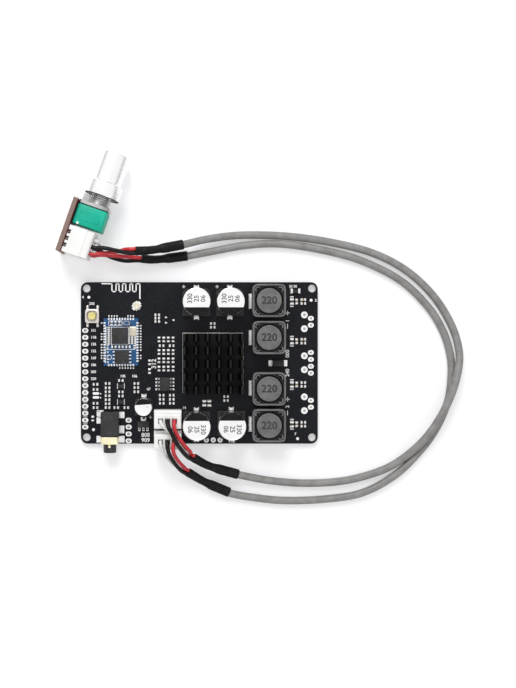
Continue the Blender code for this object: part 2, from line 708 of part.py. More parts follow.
def inductor(label, y):
    """Square ferrite shield whose bore has corner pockets, its terminals, and the drum core inside it."""
    bore = squircle(COIL_BORE, COIL_BORE_POWER)
    tab_reach, tab_width, tab_thickness = COIL_TAB
    low, high = SEAT + COIL_LIFT, SEAT + COIL_HEIGHT
    floor = SEAT + tab_thickness + COIL_LIFT + COIL_FLOOR
    outer = rounded(COIL_SIDE, COIL_SIDE, COIL_CORNER)
    inner = rounded(COIL_SIDE - 2 * COIL_BEVEL, COIL_SIDE - 2 * COIL_BEVEL, COIL_CORNER - COIL_BEVEL)
    bm = bmesh.new()
    foot_verts, foot_edges = ring(bm, outer, low)
    shoulder_verts, _ = ring(bm, outer, high - COIL_BEVEL)
    top_verts, top_edges = ring(bm, inner, high)
    wall(bm, foot_verts, shoulder_verts)
    wall(bm, shoulder_verts, top_verts)
    terrace(bm, foot_edges, low, [])
    terrace(bm, top_edges, high, [(bore, floor, [])])
    ferrite = finish(f"shield_grey_{label}", (0.09, 0.09, 0.095), 0.5, 0.2)
    place = (COIL_X, y, 0)
    node = f"inductor_shield_{label}"
    thing = place_object(node, finish_mesh(bm, node), ferrite, spot=place)
    run = COIL_SIDE / 2 + tab_reach
    join_boxes(thing, f"coil_tabs_{label}",
               [((-run, -tab_width / 2, SEAT), (run, tab_width / 2, SEAT + tab_thickness))])

    foot, tip = floor + GAP, high - DRUM_DROP
    rim, waist = DRUM_DIAMETER / 2, DRUM_WAIST / 2
    profile = [(0, foot), (rim, foot), (rim, foot + DRUM_FLANGE), (waist, foot + DRUM_FLANGE + DRUM_SLOPE),
               (waist, tip - DRUM_FLANGE - DRUM_SLOPE), (rim, tip - DRUM_FLANGE), (rim, tip - DRUM_EDGE),
               (rim - DRUM_EDGE, tip), (0, tip)]
    core = finish(f"core_grey_{label}", (0.13, 0.13, 0.135), 0.45, 0.2)
    node = f"inductor_core_{label}"
    place_object(node, finish_mesh(turned(profile), node, 40), core, spot=place)


def mode_switch():
    """Tact switch with a metal cover, four legs and a square button that springs back."""
    leg_width, leg_reach, leg_thickness = SWITCH_LEG
    spot = (LEFT_EDGE + SWITCH_INSET, SWITCH_Y, 0)
    top = SEAT + SWITCH_HEIGHT
    floor = SEAT + SWITCH_FLOOR
    mouth = BUTTON_SIDE + 2 * GAP
    pocket = (rounded(mouth, mouth, BUTTON_CORNER + GAP), floor, [])
    cover = rounded(SWITCH_SIDE, SWITCH_SIDE, SWITCH_CORNER, 1)
    shoulder = rounded(SWITCH_SIDE - 2 * STEP, SWITCH_SIDE - 2 * STEP, SWITCH_CORNER, 1)
    bm = block(cover, SEAT, top - SWITCH_EDGE, [(shoulder, top, [pocket])])
    metal = finish("switch_metal", (0.72, 0.72, 0.7), 0.3, 0.9)
    thing = place_object("mode_switch_body", finish_mesh(bm, "mode_switch_body"), metal, spot=spot)
    run = SWITCH_SIDE / 2 + leg_reach
    for i, side in enumerate((-1, 1)):
        x = side * SWITCH_LEG_SPACING / 2
        join_boxes(thing, f"switch_legs_{i}",
                   [((x - leg_width / 2, -run, SEAT), (x + leg_width / 2, run, SEAT + leg_thickness))])

    rest = floor + GAP + BUTTON_TRAVEL
    tip = top + BUTTON_RISE
    outline = rounded(BUTTON_SIDE, BUTTON_SIDE, BUTTON_CORNER)
    inner = rounded(BUTTON_SIDE - 2 * STEP, BUTTON_SIDE - 2 * STEP, BUTTON_CORNER - STEP)
    cap = rounded(BUTTON_SIDE - 2 * BUTTON_EDGE, BUTTON_SIDE - 2 * BUTTON_EDGE, BUTTON_CORNER - BUTTON_EDGE)
    button = block(outline, rest, tip - BUTTON_EDGE, [(inner, tip, [], cap)])
    yellow = finish("button_cream", (0.78, 0.7, 0.42), 0.4)
    place_object("mode_button", finish_mesh(button, "mode_button"), yellow, spot=spot)


def antenna_socket():
    """Small coaxial socket: a square base with side tabs, a contact ring and a centre pin."""
    half, tab = ANTENNA_SIDE / 2, ANTENNA_TAB[1] / 2
    edge = half + ANTENNA_TAB[0]
    points = [(-half, -half), (half, -half), (half, -tab), (edge, -tab), (edge, tab), (half, tab),
              (half, half), (-half, half), (-half, tab), (-edge, tab), (-edge, -tab), (-half, -tab)]
    deck = SEAT + ANTENNA_BASE
    tip = SEAT + ANTENNA_RING_HEIGHT
    well = circle(ANTENNA_RING / 2 - ANTENNA_RING_WALL)
    pin = (circle(ANTENNA_PIN / 2, PIN_FACETS), tip - ANTENNA_PIN_DROP, [])
    collar = (circle(ANTENNA_RING / 2), tip, [(well, deck, [pin])])
    bm = block(points, SEAT, deck, [collar])
    gold = finish("socket_gold", (0.83, 0.66, 0.32), 0.3, 0.9)
    place_object("antenna_socket", finish_mesh(bm, "antenna_socket"), gold,
                 spot=(*ANTENNA_PLACE, 0), turn=ANTENNA_TURN)


def headphone_jack():
    """Jack lying on the board: a black body with a bored nose, and the brass band round the nose."""
    frame = bpy.data.objects.new("jack_frame", None)
    bpy.context.collection.objects.link(frame)
    middle = SEAT + JACK_BAND_HEIGHT / 2
    frame.location = Vector((*JACK_PLACE, middle)) * MM
    frame.rotation_euler = (math.pi / 2, 0, 0)

    nose_end = JACK_LENGTH + 2 * GAP + JACK_BAND + JACK_NOSE
    body = rounded(JACK_WIDTH, JACK_HEIGHT, JACK_CORNER, 2)
    nose = circle(JACK_NOSE_DIAMETER / 2)
    bore = circle(JACK_BORE / 2)
    bm = block(body, 0, JACK_LENGTH, [(nose, nose_end, [(bore, JACK_BORE_END, [])])])
    black = finish("jack_black", (0.03, 0.03, 0.032), 0.45)
    thing = place_object("jack_body", finish_mesh(bm, "jack_body"), black, parent=frame)
    reach, width, thickness = JACK_TAB
    low, high = -JACK_BAND_HEIGHT / 2, thickness - JACK_BAND_HEIGHT / 2
    edge = JACK_WIDTH / 2 + reach
    for side, places in ((-1, JACK_LEFT_TABS), (1, JACK_RIGHT_TABS)):
        boxes = [((0, low, run - width / 2), (side * edge, high, run + width / 2)) for run in places]
        join_boxes(thing, f"jack_tabs_{'left' if side < 0 else 'right'}", boxes)

    band_start = JACK_LENGTH + GAP
    hole = circle(JACK_NOSE_DIAMETER / 2 + RUNNING_GAP)
    shape = rounded(JACK_WIDTH, JACK_BAND_HEIGHT, JACK_BAND_CORNER, 3)
    band = block(shape, band_start, band_start + JACK_BAND, bores=[hole])
    brass = finish("jack_brass", (0.83, 0.68, 0.36), 0.28, 0.95)
    sleeve_thing = place_object("jack_sleeve", finish_mesh(band, "jack_sleeve"), brass, parent=frame)
    middle_run = band_start + JACK_BAND / 2
    join_boxes(sleeve_thing, "band_tabs",
               [((-edge, low, middle_run - width / 2), (edge, high, middle_run + width / 2))])


def header(name, parent, spot, tail, back=0.0):
    """White shrouded header with three square pins; its tails run down to the given depth.

    The feet stand between the pins, so that the board shows through the windows beside them. The back
    is what the rear wall is thicker than the others.
    """
    low = GAP + HEADER_FOOT[1]
    front, rear = -HEADER_DEPTH / 2, HEADER_DEPTH / 2
    outline = [(-HEADER_LENGTH / 2, front), (HEADER_LENGTH / 2, front),
               (HEADER_LENGTH / 2, rear + back), (-HEADER_LENGTH / 2, rear + back)]
    inner = rectangle(HEADER_LENGTH - 2 * HEADER_WALL, HEADER_DEPTH - 2 * HEADER_WALL)
    pins = [(rectangle(PIN_SIDE, PIN_SIDE, (x, 0)), PIN_TOP, []) for x in pin_offsets()]
    tails = [(rectangle(PIN_SIDE, PIN_SIDE, (x, 0)), tail, []) for x in pin_offsets()]
    feet = []
    for i in range(PINS + 1):
        middle = (i - PINS / 2) * PIN_PITCH
        start, end = middle - HEADER_FOOT[0] / 2, middle + HEADER_FOOT[0] / 2
        if i == 0:
            start = STEP - HEADER_LENGTH / 2
        if i == PINS:
            end = HEADER_LENGTH / 2 - STEP
        foot = rectangle(end - start, HEADER_DEPTH - 2 * STEP, ((start + end) / 2, 0))
        feet.append((foot, GAP, []))
    bm = block(outline, low, HEADER_HEIGHT, [(inner, HEADER_FLOOR, pins)], under=tails + feet)
    white = finish(f"{name}_white", (0.82, 0.82, 0.8), 0.4)
    thing = place_object(name, finish_mesh(bm, name), white, parent, spot)
    width, depth = HEADER_SLOT
    slots = []
    for x in (-HEADER_SLOT_PLACE, HEADER_SLOT_PLACE):
        slots.append(((x - width / 2, 2 * front, HEADER_HEIGHT - depth),
                      (x + width / 2, front + HEADER_WALL + STEP, HEADER_HEIGHT + GAP)))
    cut_boxes(thing, f"{name}_slots", slots)


def plug(name, parent, spot):
    """White plug that fills the header's shroud, with a cavity for each pin and wire."""
    low = HEADER_FLOOR + GAP
    high = HEADER_HEIGHT + GAP
    length = HEADER_LENGTH - 2 * HEADER_WALL - 2 * GAP
    depth = HEADER_DEPTH - 2 * HEADER_WALL - 2 * GAP
    flange_shape = rectangle(HEADER_LENGTH - 2 * PLUG_INSET, HEADER_DEPTH - 2 * PLUG_INSET)
    inset = PLUG_INSET + PLUG_BEVEL[0]
    top_shape = rectangle(HEADER_LENGTH - 2 * inset, HEADER_DEPTH - 2 * inset)
    cavities = [rectangle(PLUG_CAVITY, PLUG_CAVITY, (x, 0)) for x in pin_offsets()]
    bm = bmesh.new()
    foot, foot_edges = ring(bm, rectangle(length, depth), low)
    neck, neck_edges = ring(bm, rectangle(length, depth), high)
    flange, flange_edges = ring(bm, flange_shape, high)
    shoulder, _ = ring(bm, flange_shape, PLUG_TOP - PLUG_BEVEL[1])
    top, top_edges = ring(bm, top_shape, PLUG_TOP)
    wall(bm, foot, neck)
    wall(bm, flange, shoulder)
    wall(bm, shoulder, top)
    low_cavities = [ring(bm, cavity, low) for cavity in cavities]
    high_cavities = [ring(bm, cavity, PLUG_TOP) for cavity in cavities]
    for (bottom, _), (upper, _) in zip(low_cavities, high_cavities):
        wall(bm, bottom, upper)
    terrace(bm, foot_edges, low, [], low_cavities)
    terrace(bm, top_edges, PLUG_TOP, [], high_cavities)
    bmesh.ops.triangle_fill(bm, edges=neck_edges + flange_edges, use_beauty=True)
    white = finish(f"{name}_white", (0.84, 0.84, 0.82), 0.38)
    place_object(name, finish_mesh(bm, name), white, parent, spot)


def control_frame():
    """Empties of the volume control: one on its axis, one on the face of its board."""
    axis = bpy.data.objects.new("control_axis", None)
    bpy.context.collection.objects.link(axis)
    axis.location = Vector((*CONTROL_PLACE, CONTROL_AXIS)) * MM
    axis.rotation_euler = (0, 0, math.radians(CONTROL_TURN))
    face = bpy.data.objects.new("control_board_face", None)
    bpy.context.collection.objects.link(face)
    face.parent = axis
    basis = Matrix(((0, 0, 1), (1, 0, 0), (0, 1, 0))).to_4x4()
    face.matrix_local = Matrix.Translation(Vector((-CONTROL_BOARD_SETBACK, 0, 0)) * MM) @ basis
    return axis, face


def volume_control():
    """Pot, shaft and knob on a small upright board with two plugged headers."""
    axis, face = control_frame()
    middle = -CONTROL_BOARD_START - CONTROL_BOARD_LENGTH / 2
    bores = []
    for rise in (-CONTROL_HEADER_RISE, CONTROL_HEADER_RISE):
        bores += [circle(PIN_HOLE / 2, PAD_FACETS, (-CONTROL_HEADER_PLACE + x, rise)) for x in pin_offsets()]
    outline = rounded(CONTROL_BOARD_LENGTH, CONTROL_BOARD_HEIGHT, CONTROL_BOARD_CORNER, 2, (middle, 0))
    board = block(outline, -CONTROL_BOARD_THICKNESS, 0, bores=bores)
    brown = finish("control_board_brown", (0.24, 0.13, 0.09), 0.55)
    place_object("control_board", finish_mesh(board, "control_board"), brown, face)

    tail = -CONTROL_BOARD_THICKNESS - CONTROL_PIN_TAIL
    for label, rise in (("upper", CONTROL_HEADER_RISE), ("lower", -CONTROL_HEADER_RISE)):
        spot = (-CONTROL_HEADER_PLACE, rise, 0)
        header(f"control_header_{label}", face, spot, tail)
        plug(f"control_plug_{label}", face, spot)

    rear = -POT_START - POT_LENGTH
    left = -CONTROL_BOARD_SETBACK + GAP
    centre_u = left + POT_WIDTH / 2
    shape = shifted(rounded(POT_WIDTH, POT_HEIGHT, POT_CHAMFER, 2), centre_u, 0)
    back = shifted(rounded(POT_WIDTH - 2 * POT_BEVEL, POT_HEIGHT - 2 * POT_BEVEL, POT_CHAMFER, 2), centre_u, 0)
    front = shifted(rounded(POT_WIDTH - 2 * STEP, POT_HEIGHT - 2 * STEP, POT_CHAMFER, 2), centre_u, 0)
    body = block(back, rear, rear + POT_BEVEL, top_outline=shape, steps=[(front, -POT_START, [])])
    along(place_object("pot_body", finish_mesh(body, "pot_body"),
                       finish("pot_green", (0.02, 0.46, 0.33), 0.45), axis))

    plate_rear = -POT_START + GAP
    plate_front = plate_rear + PLATE_THICKNESS
    thread = circle(BUSHING_DIAMETER / 2)
    key = (rectangle(*KEY_SIZE[:2], (-BUSHING_DIAMETER / 2 - KEY_OFFSET, 0)), plate_front + KEY_SIZE[2], [])
    passage = circle(SHAFT_DIAMETER / 2 + RUNNING_GAP)
    bushing_tip = plate_front + BUSHING_LENGTH
    plate = bushing(shape, plate_rear, plate_front, thread, bushing_tip, passage, key)
    along(place_object("pot_bushing", finish_mesh(plate, "pot_bushing"),
                       finish("pot_silver", (0.68, 0.68, 0.67), 0.32, 0.9), axis))

    shaft_tip = KNOB_HOLLOW + SHAFT_IN_KNOB
    radius = SHAFT_DIAMETER / 2
    flat = radius - SHAFT_FLAT_DEPTH
    round_part = circle(radius)
    d_part = [(x, min(y, flat)) for x, y in circle(radius - STEP)]
    shaft = block(round_part, plate_rear + GAP, KNOB_HOLLOW, [(d_part, shaft_tip, [])])
    along(place_object("pot_shaft", finish_mesh(shaft, "pot_shaft"),
                       finish("shaft_silver", (0.62, 0.62, 0.6), 0.35, 0.9), axis))

    skirt, grip = KNOB_SKIRT_DIAMETER / 2, KNOB_GRIP_DIAMETER / 2
    socket = radius + GAP
    hollow = skirt - KNOB_RIM
    shoulder, heel = KNOB_SKIRT_EDGE
    fillet_out, fillet_up = KNOB_FILLET
    profile = [(0, KNOB_LENGTH), (grip - KNOB_EDGE, KNOB_LENGTH), (grip, KNOB_LENGTH - KNOB_EDGE),
               (grip + RUNNING_GAP, KNOB_SKIRT + fillet_out + fillet_up),
               (grip + fillet_out, KNOB_SKIRT + fillet_out), (skirt - shoulder, KNOB_SKIRT),
               (skirt, KNOB_SKIRT - shoulder), (skirt, heel), (skirt - heel, 0),
               (hollow, 0), (hollow, KNOB_HOLLOW), (socket, KNOB_HOLLOW), (socket, shaft_tip + GAP),
               (0, shaft_tip + GAP)]
    knob = turned(profile, KNOB_FACETS)
    along(place_object("volume_knob", finish_mesh(knob, "volume_knob", 35),
                       finish("knob_silver", (0.8, 0.8, 0.81), 0.22, 0.9), axis))


def bushing(shape, rear, front, thread, tip, passage, key):
    """Front plate with a threaded neck, a bore right through and the step of its locating key."""
    bm = bmesh.new()
    low, low_edges = ring(bm, shape, rear)
    high, high_edges = ring(bm, shape, front)
    foot, foot_edges = ring(bm, thread, front)
    end, end_edges = ring(bm, thread, tip)
    back_hole, back_edges = ring(bm, passage, rear)
    front_hole, front_edges = ring(bm, passage, tip)
    wall(bm, low, high)
    wall(bm, foot, end)
    wall(bm, back_hole, front_hole)
    bmesh.ops.triangle_fill(bm, edges=low_edges + back_edges, use_beauty=True)
    bmesh.ops.triangle_fill(bm, edges=end_edges + front_edges, use_beauty=True)
    terrace(bm, high_edges + foot_edges, front, [key])
    return bm


def along(thing):
    """Stand an object built about Z along the control's axis, which is the empty's Y."""
    basis = Matrix(((1, 0, 0), (0, 0, 1), (0, -1, 0))).to_4x4()
    thing.matrix_local = basis
    return thing


# Leads

def smooth_path(points, spacing):
    """Evenly spaced points along a Catmull-Rom curve through the route's own points."""
    nodes = [Vector(p) for p in points]
    nodes = [2 * nodes[0] - nodes[1]] + nodes + [2 * nodes[-1] - nodes[-2]]
    fine = []
    steps = 24
    for i in range(1, len(nodes) - 2):
        a, b, c, d = nodes[i - 1:i + 3]
        for j in range(steps):
            t = j / steps
            fine.append(0.5 * ((2 * b) + (c - a) * t + (2 * a - 5 * b + 4 * c - d) * t ** 2
                               + (3 * b - a - 3 * c + d) * t ** 3))
    fine.append(nodes[-2])
    lengths = [0.0]
    for p, q in zip(fine, fine[1:]):
        lengths.append(lengths[-1] + (q - p).length)
    count = max(2, round(lengths[-1] / spacing))
    result = []
    k = 0
    for i in range(count + 1):
        target = lengths[-1] * i / count
        while k < len(fine) - 2 and lengths[k + 1] < target:
            k += 1
        span = lengths[k + 1] - lengths[k]
        result.append(fine[k].lerp(fine[k + 1], (target - lengths[k]) / span))
    return result


def tube(name, points, diameter, material, radii=None):
    """A cord as a curve with filled caps; radii may vary from point to point."""
    curve = bpy.data.curves.new(name, 'CURVE')
    curve.dimensions = '3D'
    curve.bevel_depth = diameter / 2 * MM
    curve.bevel_resolution = 2
    curve.use_fill_caps = True
    spline = curve.splines.new('POLY')
    spline.points.add(len(points) - 1)
    for i, p in enumerate(points):
        spline.points[i].co = (*(p * MM), 1)
        spline.points[i].radius = radii[i] if radii else 1.0
    return place_object(name, curve, material)


# Routes in millimetres, chosen by hand along the photographed leads
CABLE_ROUTES = {
    "first": ((1.7, 45.2, 3.3), (10.5, 46.7, 1.5), (19.5, 47.2, 1.0), (32.7, 46.7, 1.0), (48.0, 44.6, 1.0),
              (63.8, 40.6, 1.0), (76.5, 34.0, 1.0), (86.5, 24.6, 1.0), (93.0, 14.0, 1.1), (95.6, 4.6, 1.9),
              (94.8, -3.0, 3.6), (92.2, -11.5, 4.3), (88.0, -20.0, 4.3), (82.3, -28.1, 3.7),
              (74.6, -35.4, 1.8), (66.7, -39.9, 1.0), (54.0, -43.4, 1.0), (40.1, -44.4, 1.0),
              (27.0, -43.5, 1.3)),
    "second": ((5.0, 41.2, 1.0), (17.2, 43.4, 1.0), (30.0, 43.9, 1.0), (45.0, 41.7, 1.0), (60.0, 37.6, 1.0),
               (74.1, 30.5, 1.0), (84.0, 21.2, 1.0), (89.8, 12.0, 1.0), (92.6, 3.0, 1.0), (93.0, -5.0, 1.0),
               (91.6, -14.5, 1.0), (87.3, -24.4, 1.0), (81.0, -33.0, 1.0), (72.0, -41.6, 1.0),
               (60.0, -48.0, 1.0), (46.0, -50.3, 1.0), (31.3, -50.8, 1.0), (20.0, -49.7, 1.0)),
}
SLEEVE_ROUTES = {
    "first_control": ((-23.2, 40.6, 8.6), (-16.5, 41.2, 7.4), (-6.9, 43.1, 5.6)),
    "second_control": ((-21.4, 38.4, 2.4), (-15.9, 38.1, 1.8), (-5.4, 39.35, 1.6)),
    "first_board": ((-2.2, -34.3, 7.0), (3.7, -37.6, 5.0), (13.2, -40.6, 2.9)),
    "second_board": ((-4.3, -39.9, 4.0), (2.1, -43.8, 2.4), (10.2, -47.4, 1.5)),
}
# Each bundle: for each wire its side and up offset at the sleeve, then the middle of its route
BUNDLES = {
    "first_control": {
        "white": ((0.0, -0.95), ((-35.9, 42.9, 8.6), (-32.0, 41.6, 6.6), (-28.0, 40.9, 6.2))),
        "black": ((-0.8, 0.4), ((-34.2, 41.5, 10.5), (-29.8, 40.6, 10.3), (-26.4, 39.9, 9.5))),
        "red": ((0.75, 0.5), ((-36.0, 39.6, 9.6), (-30.5, 40.3, 8.1), (-26.8, 41.2, 8.6))),
    },
    "second_control": {
        "white": ((0.75, -0.55), ((-35.6, 43.0, 2.8), (-32.0, 41.3, 2.4), (-27.0, 39.9, 1.8))),
        "black": ((-0.8, -0.3), ((-36.3, 41.0, 2.6), (-32.5, 38.9, 1.9), (-27.5, 37.6, 1.8))),
        "red": ((0.2, 0.9), ((-36.6, 39.5, 4.4), (-32.5, 39.3, 5.0), (-27.0, 38.9, 4.2))),
    },
    "first_board": {
        "white": ((0.0, -0.95), ((-13.0, -22.4, 13.0), (-9.9, -25.2, 12.7), (-6.9, -28.3, 12.5),
                                 (-5.0, -31.0, 10.6), (-3.9, -32.8, 8.2))),
        "black": ((-0.75, 0.55), ((-11.2, -22.4, 14.0), (-9.6, -25.6, 14.4), (-7.6, -29.2, 14.2),
                                  (-5.6, -32.2, 12.0), (-4.0, -34.0, 9.6))),
        "red": ((0.75, 0.3), ((-8.2, -22.8, 13.2), (-6.2, -26.2, 12.8), (-4.2, -29.4, 11.3),
                              (-2.7, -31.8, 9.3))),
    },
    "second_board": {
        "white": ((-0.1, -0.95), ((-13.8, -29.6, 13.0), (-12.6, -32.6, 11.6), (-10.3, -35.8, 7.9),
                                  (-7.5, -38.3, 4.7))),
        "black": ((-0.75, 0.5), ((-11.5, -29.8, 13.3), (-10.8, -32.6, 12.4), (-8.9, -36.2, 9.3),
                                 (-6.9, -38.9, 6.3))),
        "red": ((0.75, 0.4), ((-9.0, -29.6, 13.0), (-8.6, -32.2, 12.0), (-7.1, -35.2, 8.8),
                              (-5.2, -37.8, 6.2))),
    },
}
WIRE_COLOURS = {"white": (0.8, 0.8, 0.78), "black": (0.02, 0.02, 0.02), "red": (0.62, 0.03, 0.04)}


def sleeve_mouth(label):
    """Point just past a sleeve's wide end, and the way the cable leaves it."""
    middle, end = (Vector(p) for p in SLEEVE_ROUTES[label][1:])
    out = (end - middle).normalized()
    return end + out * GAP, out


def cable(label, route):
    """One grey jacketed lead from sleeve to sleeve, lying on the floor between them."""
    start, out = sleeve_mouth(f"{label}_control")
    finish_point, back = sleeve_mouth(f"{label}_board")
    whole = [start, start + out * 2, *route, finish_point + back * 2, finish_point]
    lowest = FLOOR + CABLE_DIAMETER / 2
    points = [Vector((p.x, p.y, max(p.z, lowest))) for p in smooth_path(whole, CABLE_STEP)]
    grey = finish(f"cable_grey_{label}", (0.22, 0.22, 0.21), 0.5)
    tube(f"cable_{label}", points, CABLE_DIAMETER, grey)


def sleeve(label, route):
    """Shrunk black sleeve, narrow over the wires, with a waist, wider over the jacket."""
    points = smooth_path(route, SLEEVE_STEP)
    narrow, widening = SLEEVE_WAIST_SPAN
    last = len(points) - 1
    radii = []
    for i in range(last + 1):
        t = i / last
        near = SLEEVE_START + (SLEEVE_WAIST - SLEEVE_START) * min(1.0, t / narrow)
        far = SLEEVE_WAIST + (SLEEVE_END - SLEEVE_WAIST) * min(1.0, max(0.0, (t - narrow) / widening))
        radii.append((near if t < narrow else far) / SLEEVE_END)
    black = finish(f"sleeve_black_{label}", (0.015, 0.015, 0.016), 0.45)
    tube(f"sleeve_{label}", points, SLEEVE_END, black, radii)


def plug_exit(bundle, colour, axis):
    """Where a wire enters its plug, and the way it leaves, in the board's frame."""
    order = {"white": -1, "black": 0, "red": 1}[colour]
    if bundle.endswith("board"):
        x, y = BOARD_HEADERS[0 if bundle.startswith("first") else 1]
        return Vector((x + order * PIN_PITCH, y, BOARD_TOP + PLUG_TOP)), Vector((0, 0, 1))
    rise = CONTROL_HEADER_RISE if bundle.startswith("first") else -CONTROL_HEADER_RISE
    turn = Matrix.Rotation(math.radians(CONTROL_TURN), 3, 'Z')
    local = Vector((-CONTROL_BOARD_SETBACK + PLUG_TOP, -CONTROL_HEADER_PLACE - order * PIN_PITCH, rise))
    return axis + turn @ local, turn @ Vector((1, 0, 0))


def wires(bundle, axis):
    """The three wires from a plug's cavities to the end face of the sleeve."""
    start, after = (Vector(p) for p in SLEEVE_ROUTES[bundle][:2])
    direction = (after - start).normalized()
    side = Vector((0, 0, 1)).cross(direction).normalized()
    up = direction.cross(side)
    for colour, ((aside, above), middle) in BUNDLES[bundle].items():
        mouth, out = plug_exit(bundle, colour, axis)
        end = start - direction * GAP + side * aside + up * above
        route = [mouth - out * WIRE_IN_PLUG, mouth + out * 0.1, mouth + out * 1.2, *middle,
                 end - direction * 1.2, end]
        thickness = SHIELD_WIRE_DIAMETER if colour == "black" else WIRE_DIAMETER
        paint = finish(f"wire_{colour}_{bundle}", WIRE_COLOURS[colour], 0.45)
        tube(f"wire_{colour}_{bundle}", smooth_path(route, WIRE_STEP), thickness, paint)


def leads():
    """Both cables with their sleeves and wires."""
    axis = Vector((*CONTROL_PLACE, CONTROL_AXIS))
    for label, route in CABLE_ROUTES.items():
        cable(label, route)
    for label, route in SLEEVE_ROUTES.items():
        sleeve(label, route)
        wires(label, axis)


def build():
    """Clear the scene and build every piece."""
    for thing in list(bpy.data.objects):
        bpy.data.objects.remove(thing, do_unlink=True)
    main_board()
    heatsink()
    amplifier_chip()
    bluetooth_module()
    for i, place in enumerate(CAN_PLACES):
        capacitor(str(i + 1), place, CAN_DIAMETER, CAN_HEIGHT, CAN_BASE_CHAMFER, 1 if place[1] > 0 else -1)
    capacitor("small", SMALL_CAN_PLACE, SMALL_CAN_DIAMETER, SMALL_CAN_HEIGHT, SMALL_CAN_BASE_CHAMFER, 1)
    for i, y in enumerate(COIL_ROWS):
        inductor(str(i + 1), y)
    mode_switch()
    antenna_socket()
    headphone_jack()
    for label, spot in zip(("upper", "lower"), BOARD_HEADERS):
        header(f"board_header_{label}", None, (*spot, BOARD_TOP), -BOARD_TOP - PIN_TAIL, HEADER_BACK)
        plug(f"board_plug_{label}", None, (*spot, BOARD_TOP))
    volume_control()
    leads()


build()
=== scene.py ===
"""Looks of the bluetooth amplifier: its board, heatsink, coils, cans, jack, leads and volume control.

Shapes are worked out in millimetres, in the frame of the main board, and become metres when a piece
is made. Every piece is a surface over two parameters: a profile turned about an axis, an outline
carried up through heights, or a section carried along a path.
"""
import math

import bpy
import numpy as np
from mathutils import Matrix


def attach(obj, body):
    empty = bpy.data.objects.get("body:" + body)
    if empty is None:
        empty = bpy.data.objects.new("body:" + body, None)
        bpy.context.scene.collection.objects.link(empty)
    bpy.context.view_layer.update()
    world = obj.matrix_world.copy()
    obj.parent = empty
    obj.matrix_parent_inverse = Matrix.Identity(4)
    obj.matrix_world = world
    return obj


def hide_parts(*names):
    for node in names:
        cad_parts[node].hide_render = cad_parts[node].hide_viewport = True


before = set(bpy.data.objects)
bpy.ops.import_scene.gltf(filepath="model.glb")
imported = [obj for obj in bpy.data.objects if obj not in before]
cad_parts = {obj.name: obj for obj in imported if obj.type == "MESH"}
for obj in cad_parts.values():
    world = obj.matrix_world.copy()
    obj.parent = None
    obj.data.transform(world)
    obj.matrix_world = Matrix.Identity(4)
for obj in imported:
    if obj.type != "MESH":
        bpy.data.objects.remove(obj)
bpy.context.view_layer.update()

MM = 0.001
TURN = 2 * math.pi
SHARP_ANGLE = 38
BODY = "amplifier"
NOWHERE = (0.0, 0.0, 0.0)
SIDES = np.array((-1, 1))
ROW = np.array((-1, 0, 1))
CORNERS = ((-1, 1), (1, 1), (1, -1), (-1, -1))

# Main board and what stands on it
BOARD_TOP = 1.6
SEAT = 1.9
PAD_LIFT = 0.035
PRINT_LIFT = 0.02
PAD_PITCH = 2.54
SIDE_ROW = (-42.04, 11.94)
SIDE_PADS = 15
SERVICE_ROW = (-26.05, -21.1)
SERVICE_PADS = 4
RING_ROW = (2.58, -28.4)
RING_PADS = 3
SPEAKER_X = 38.7
SPEAKER_ROWS = (17.7, 12.6, 2.6, -2.5, -12.5, -17.6)
SENSE_X = 41.1
SENSE_ROWS = (16.4, 13.9, 3.83, 1.29, -1.25, -3.76, -13.8, -16.3)
FILTER_ROWS = (22.6, 8.0, -7.95, -22.6)
FIDUCIALS = ((-40.7, 24.2), (41.2, 23.1), (-39.0, -24.6), (36.2, -27.9))
ANTENNA_STOPS = (-35.8, -32.2, -30.7, -29.6, -28.3, -27.1, -25.6, -24.6, -23.3, -21.9)
ANTENNA_LINES = (29.2, 26.3, 23.8)

SINK_PLACE = (4.95, -0.2)
SINK_SIDE = 22.0
SINK_LEVELS = (3.3, 5.3, 12.3)
FIN_COLUMNS = 6
FIN_ROWS = 5
FIN_THICKNESS = 1.1
FIN_CUT = 1.6
FIN_LENGTH = (SINK_SIDE - (FIN_ROWS - 1) * FIN_CUT) / FIN_ROWS
FIN_SPREAD = ((SINK_SIDE - FIN_THICKNESS - 0.3) / 2, (SINK_SIDE - FIN_LENGTH) / 2)

MODULE_PLACE = (-28.8, 7.7)
MODULE_SIZE = (12.7, 17.5)
MODULE_TOP = 2.7
MODULE_PITCH = 1.0
MODULE_SIDE_PADS = 15
MODULE_END_PADS = 10

CAN_PLACES = ((-1.07, 22.3), (11.24, 22.3), (-1.07, -22.7), (11.75, -22.6))
SMALL_CAN_PLACE = (-20.4, -15.95)
CAN_FOOT = 3.3
CAN_DIP = 0.06
CAN_SHOULDER = 0.3
# Cans: radius, height and the distance of their black segment from the middle
LARGE_CAN = (5.0, 8.6, 2.1)
SMALL_CAN = (3.15, 4.6, 0.95)
COIL_X = 25.2
COIL_ROWS = (22.7, 9.3, -9.25, -22.5)
OUTSIDE_POWER = 7.5
BORE_POWER = 9.0
POCKETS = tuple((4.15 * x, 4.15 * y) for x, y in CORNERS)
SWITCH_PLACE = (-39.3, 17.2)
ANTENNA_PLACE = (-23.1, 21.0)
ANTENNA_TURN = 45.0
JACK_X = -32.7
JACK_AXIS = 4.6
JACK_TABS = ((-3.8, -18.9), (-3.8, -21.3), (3.8, -19.2), (3.8, -24.5), (3.8, -28.1), (-3.8, -28.1))
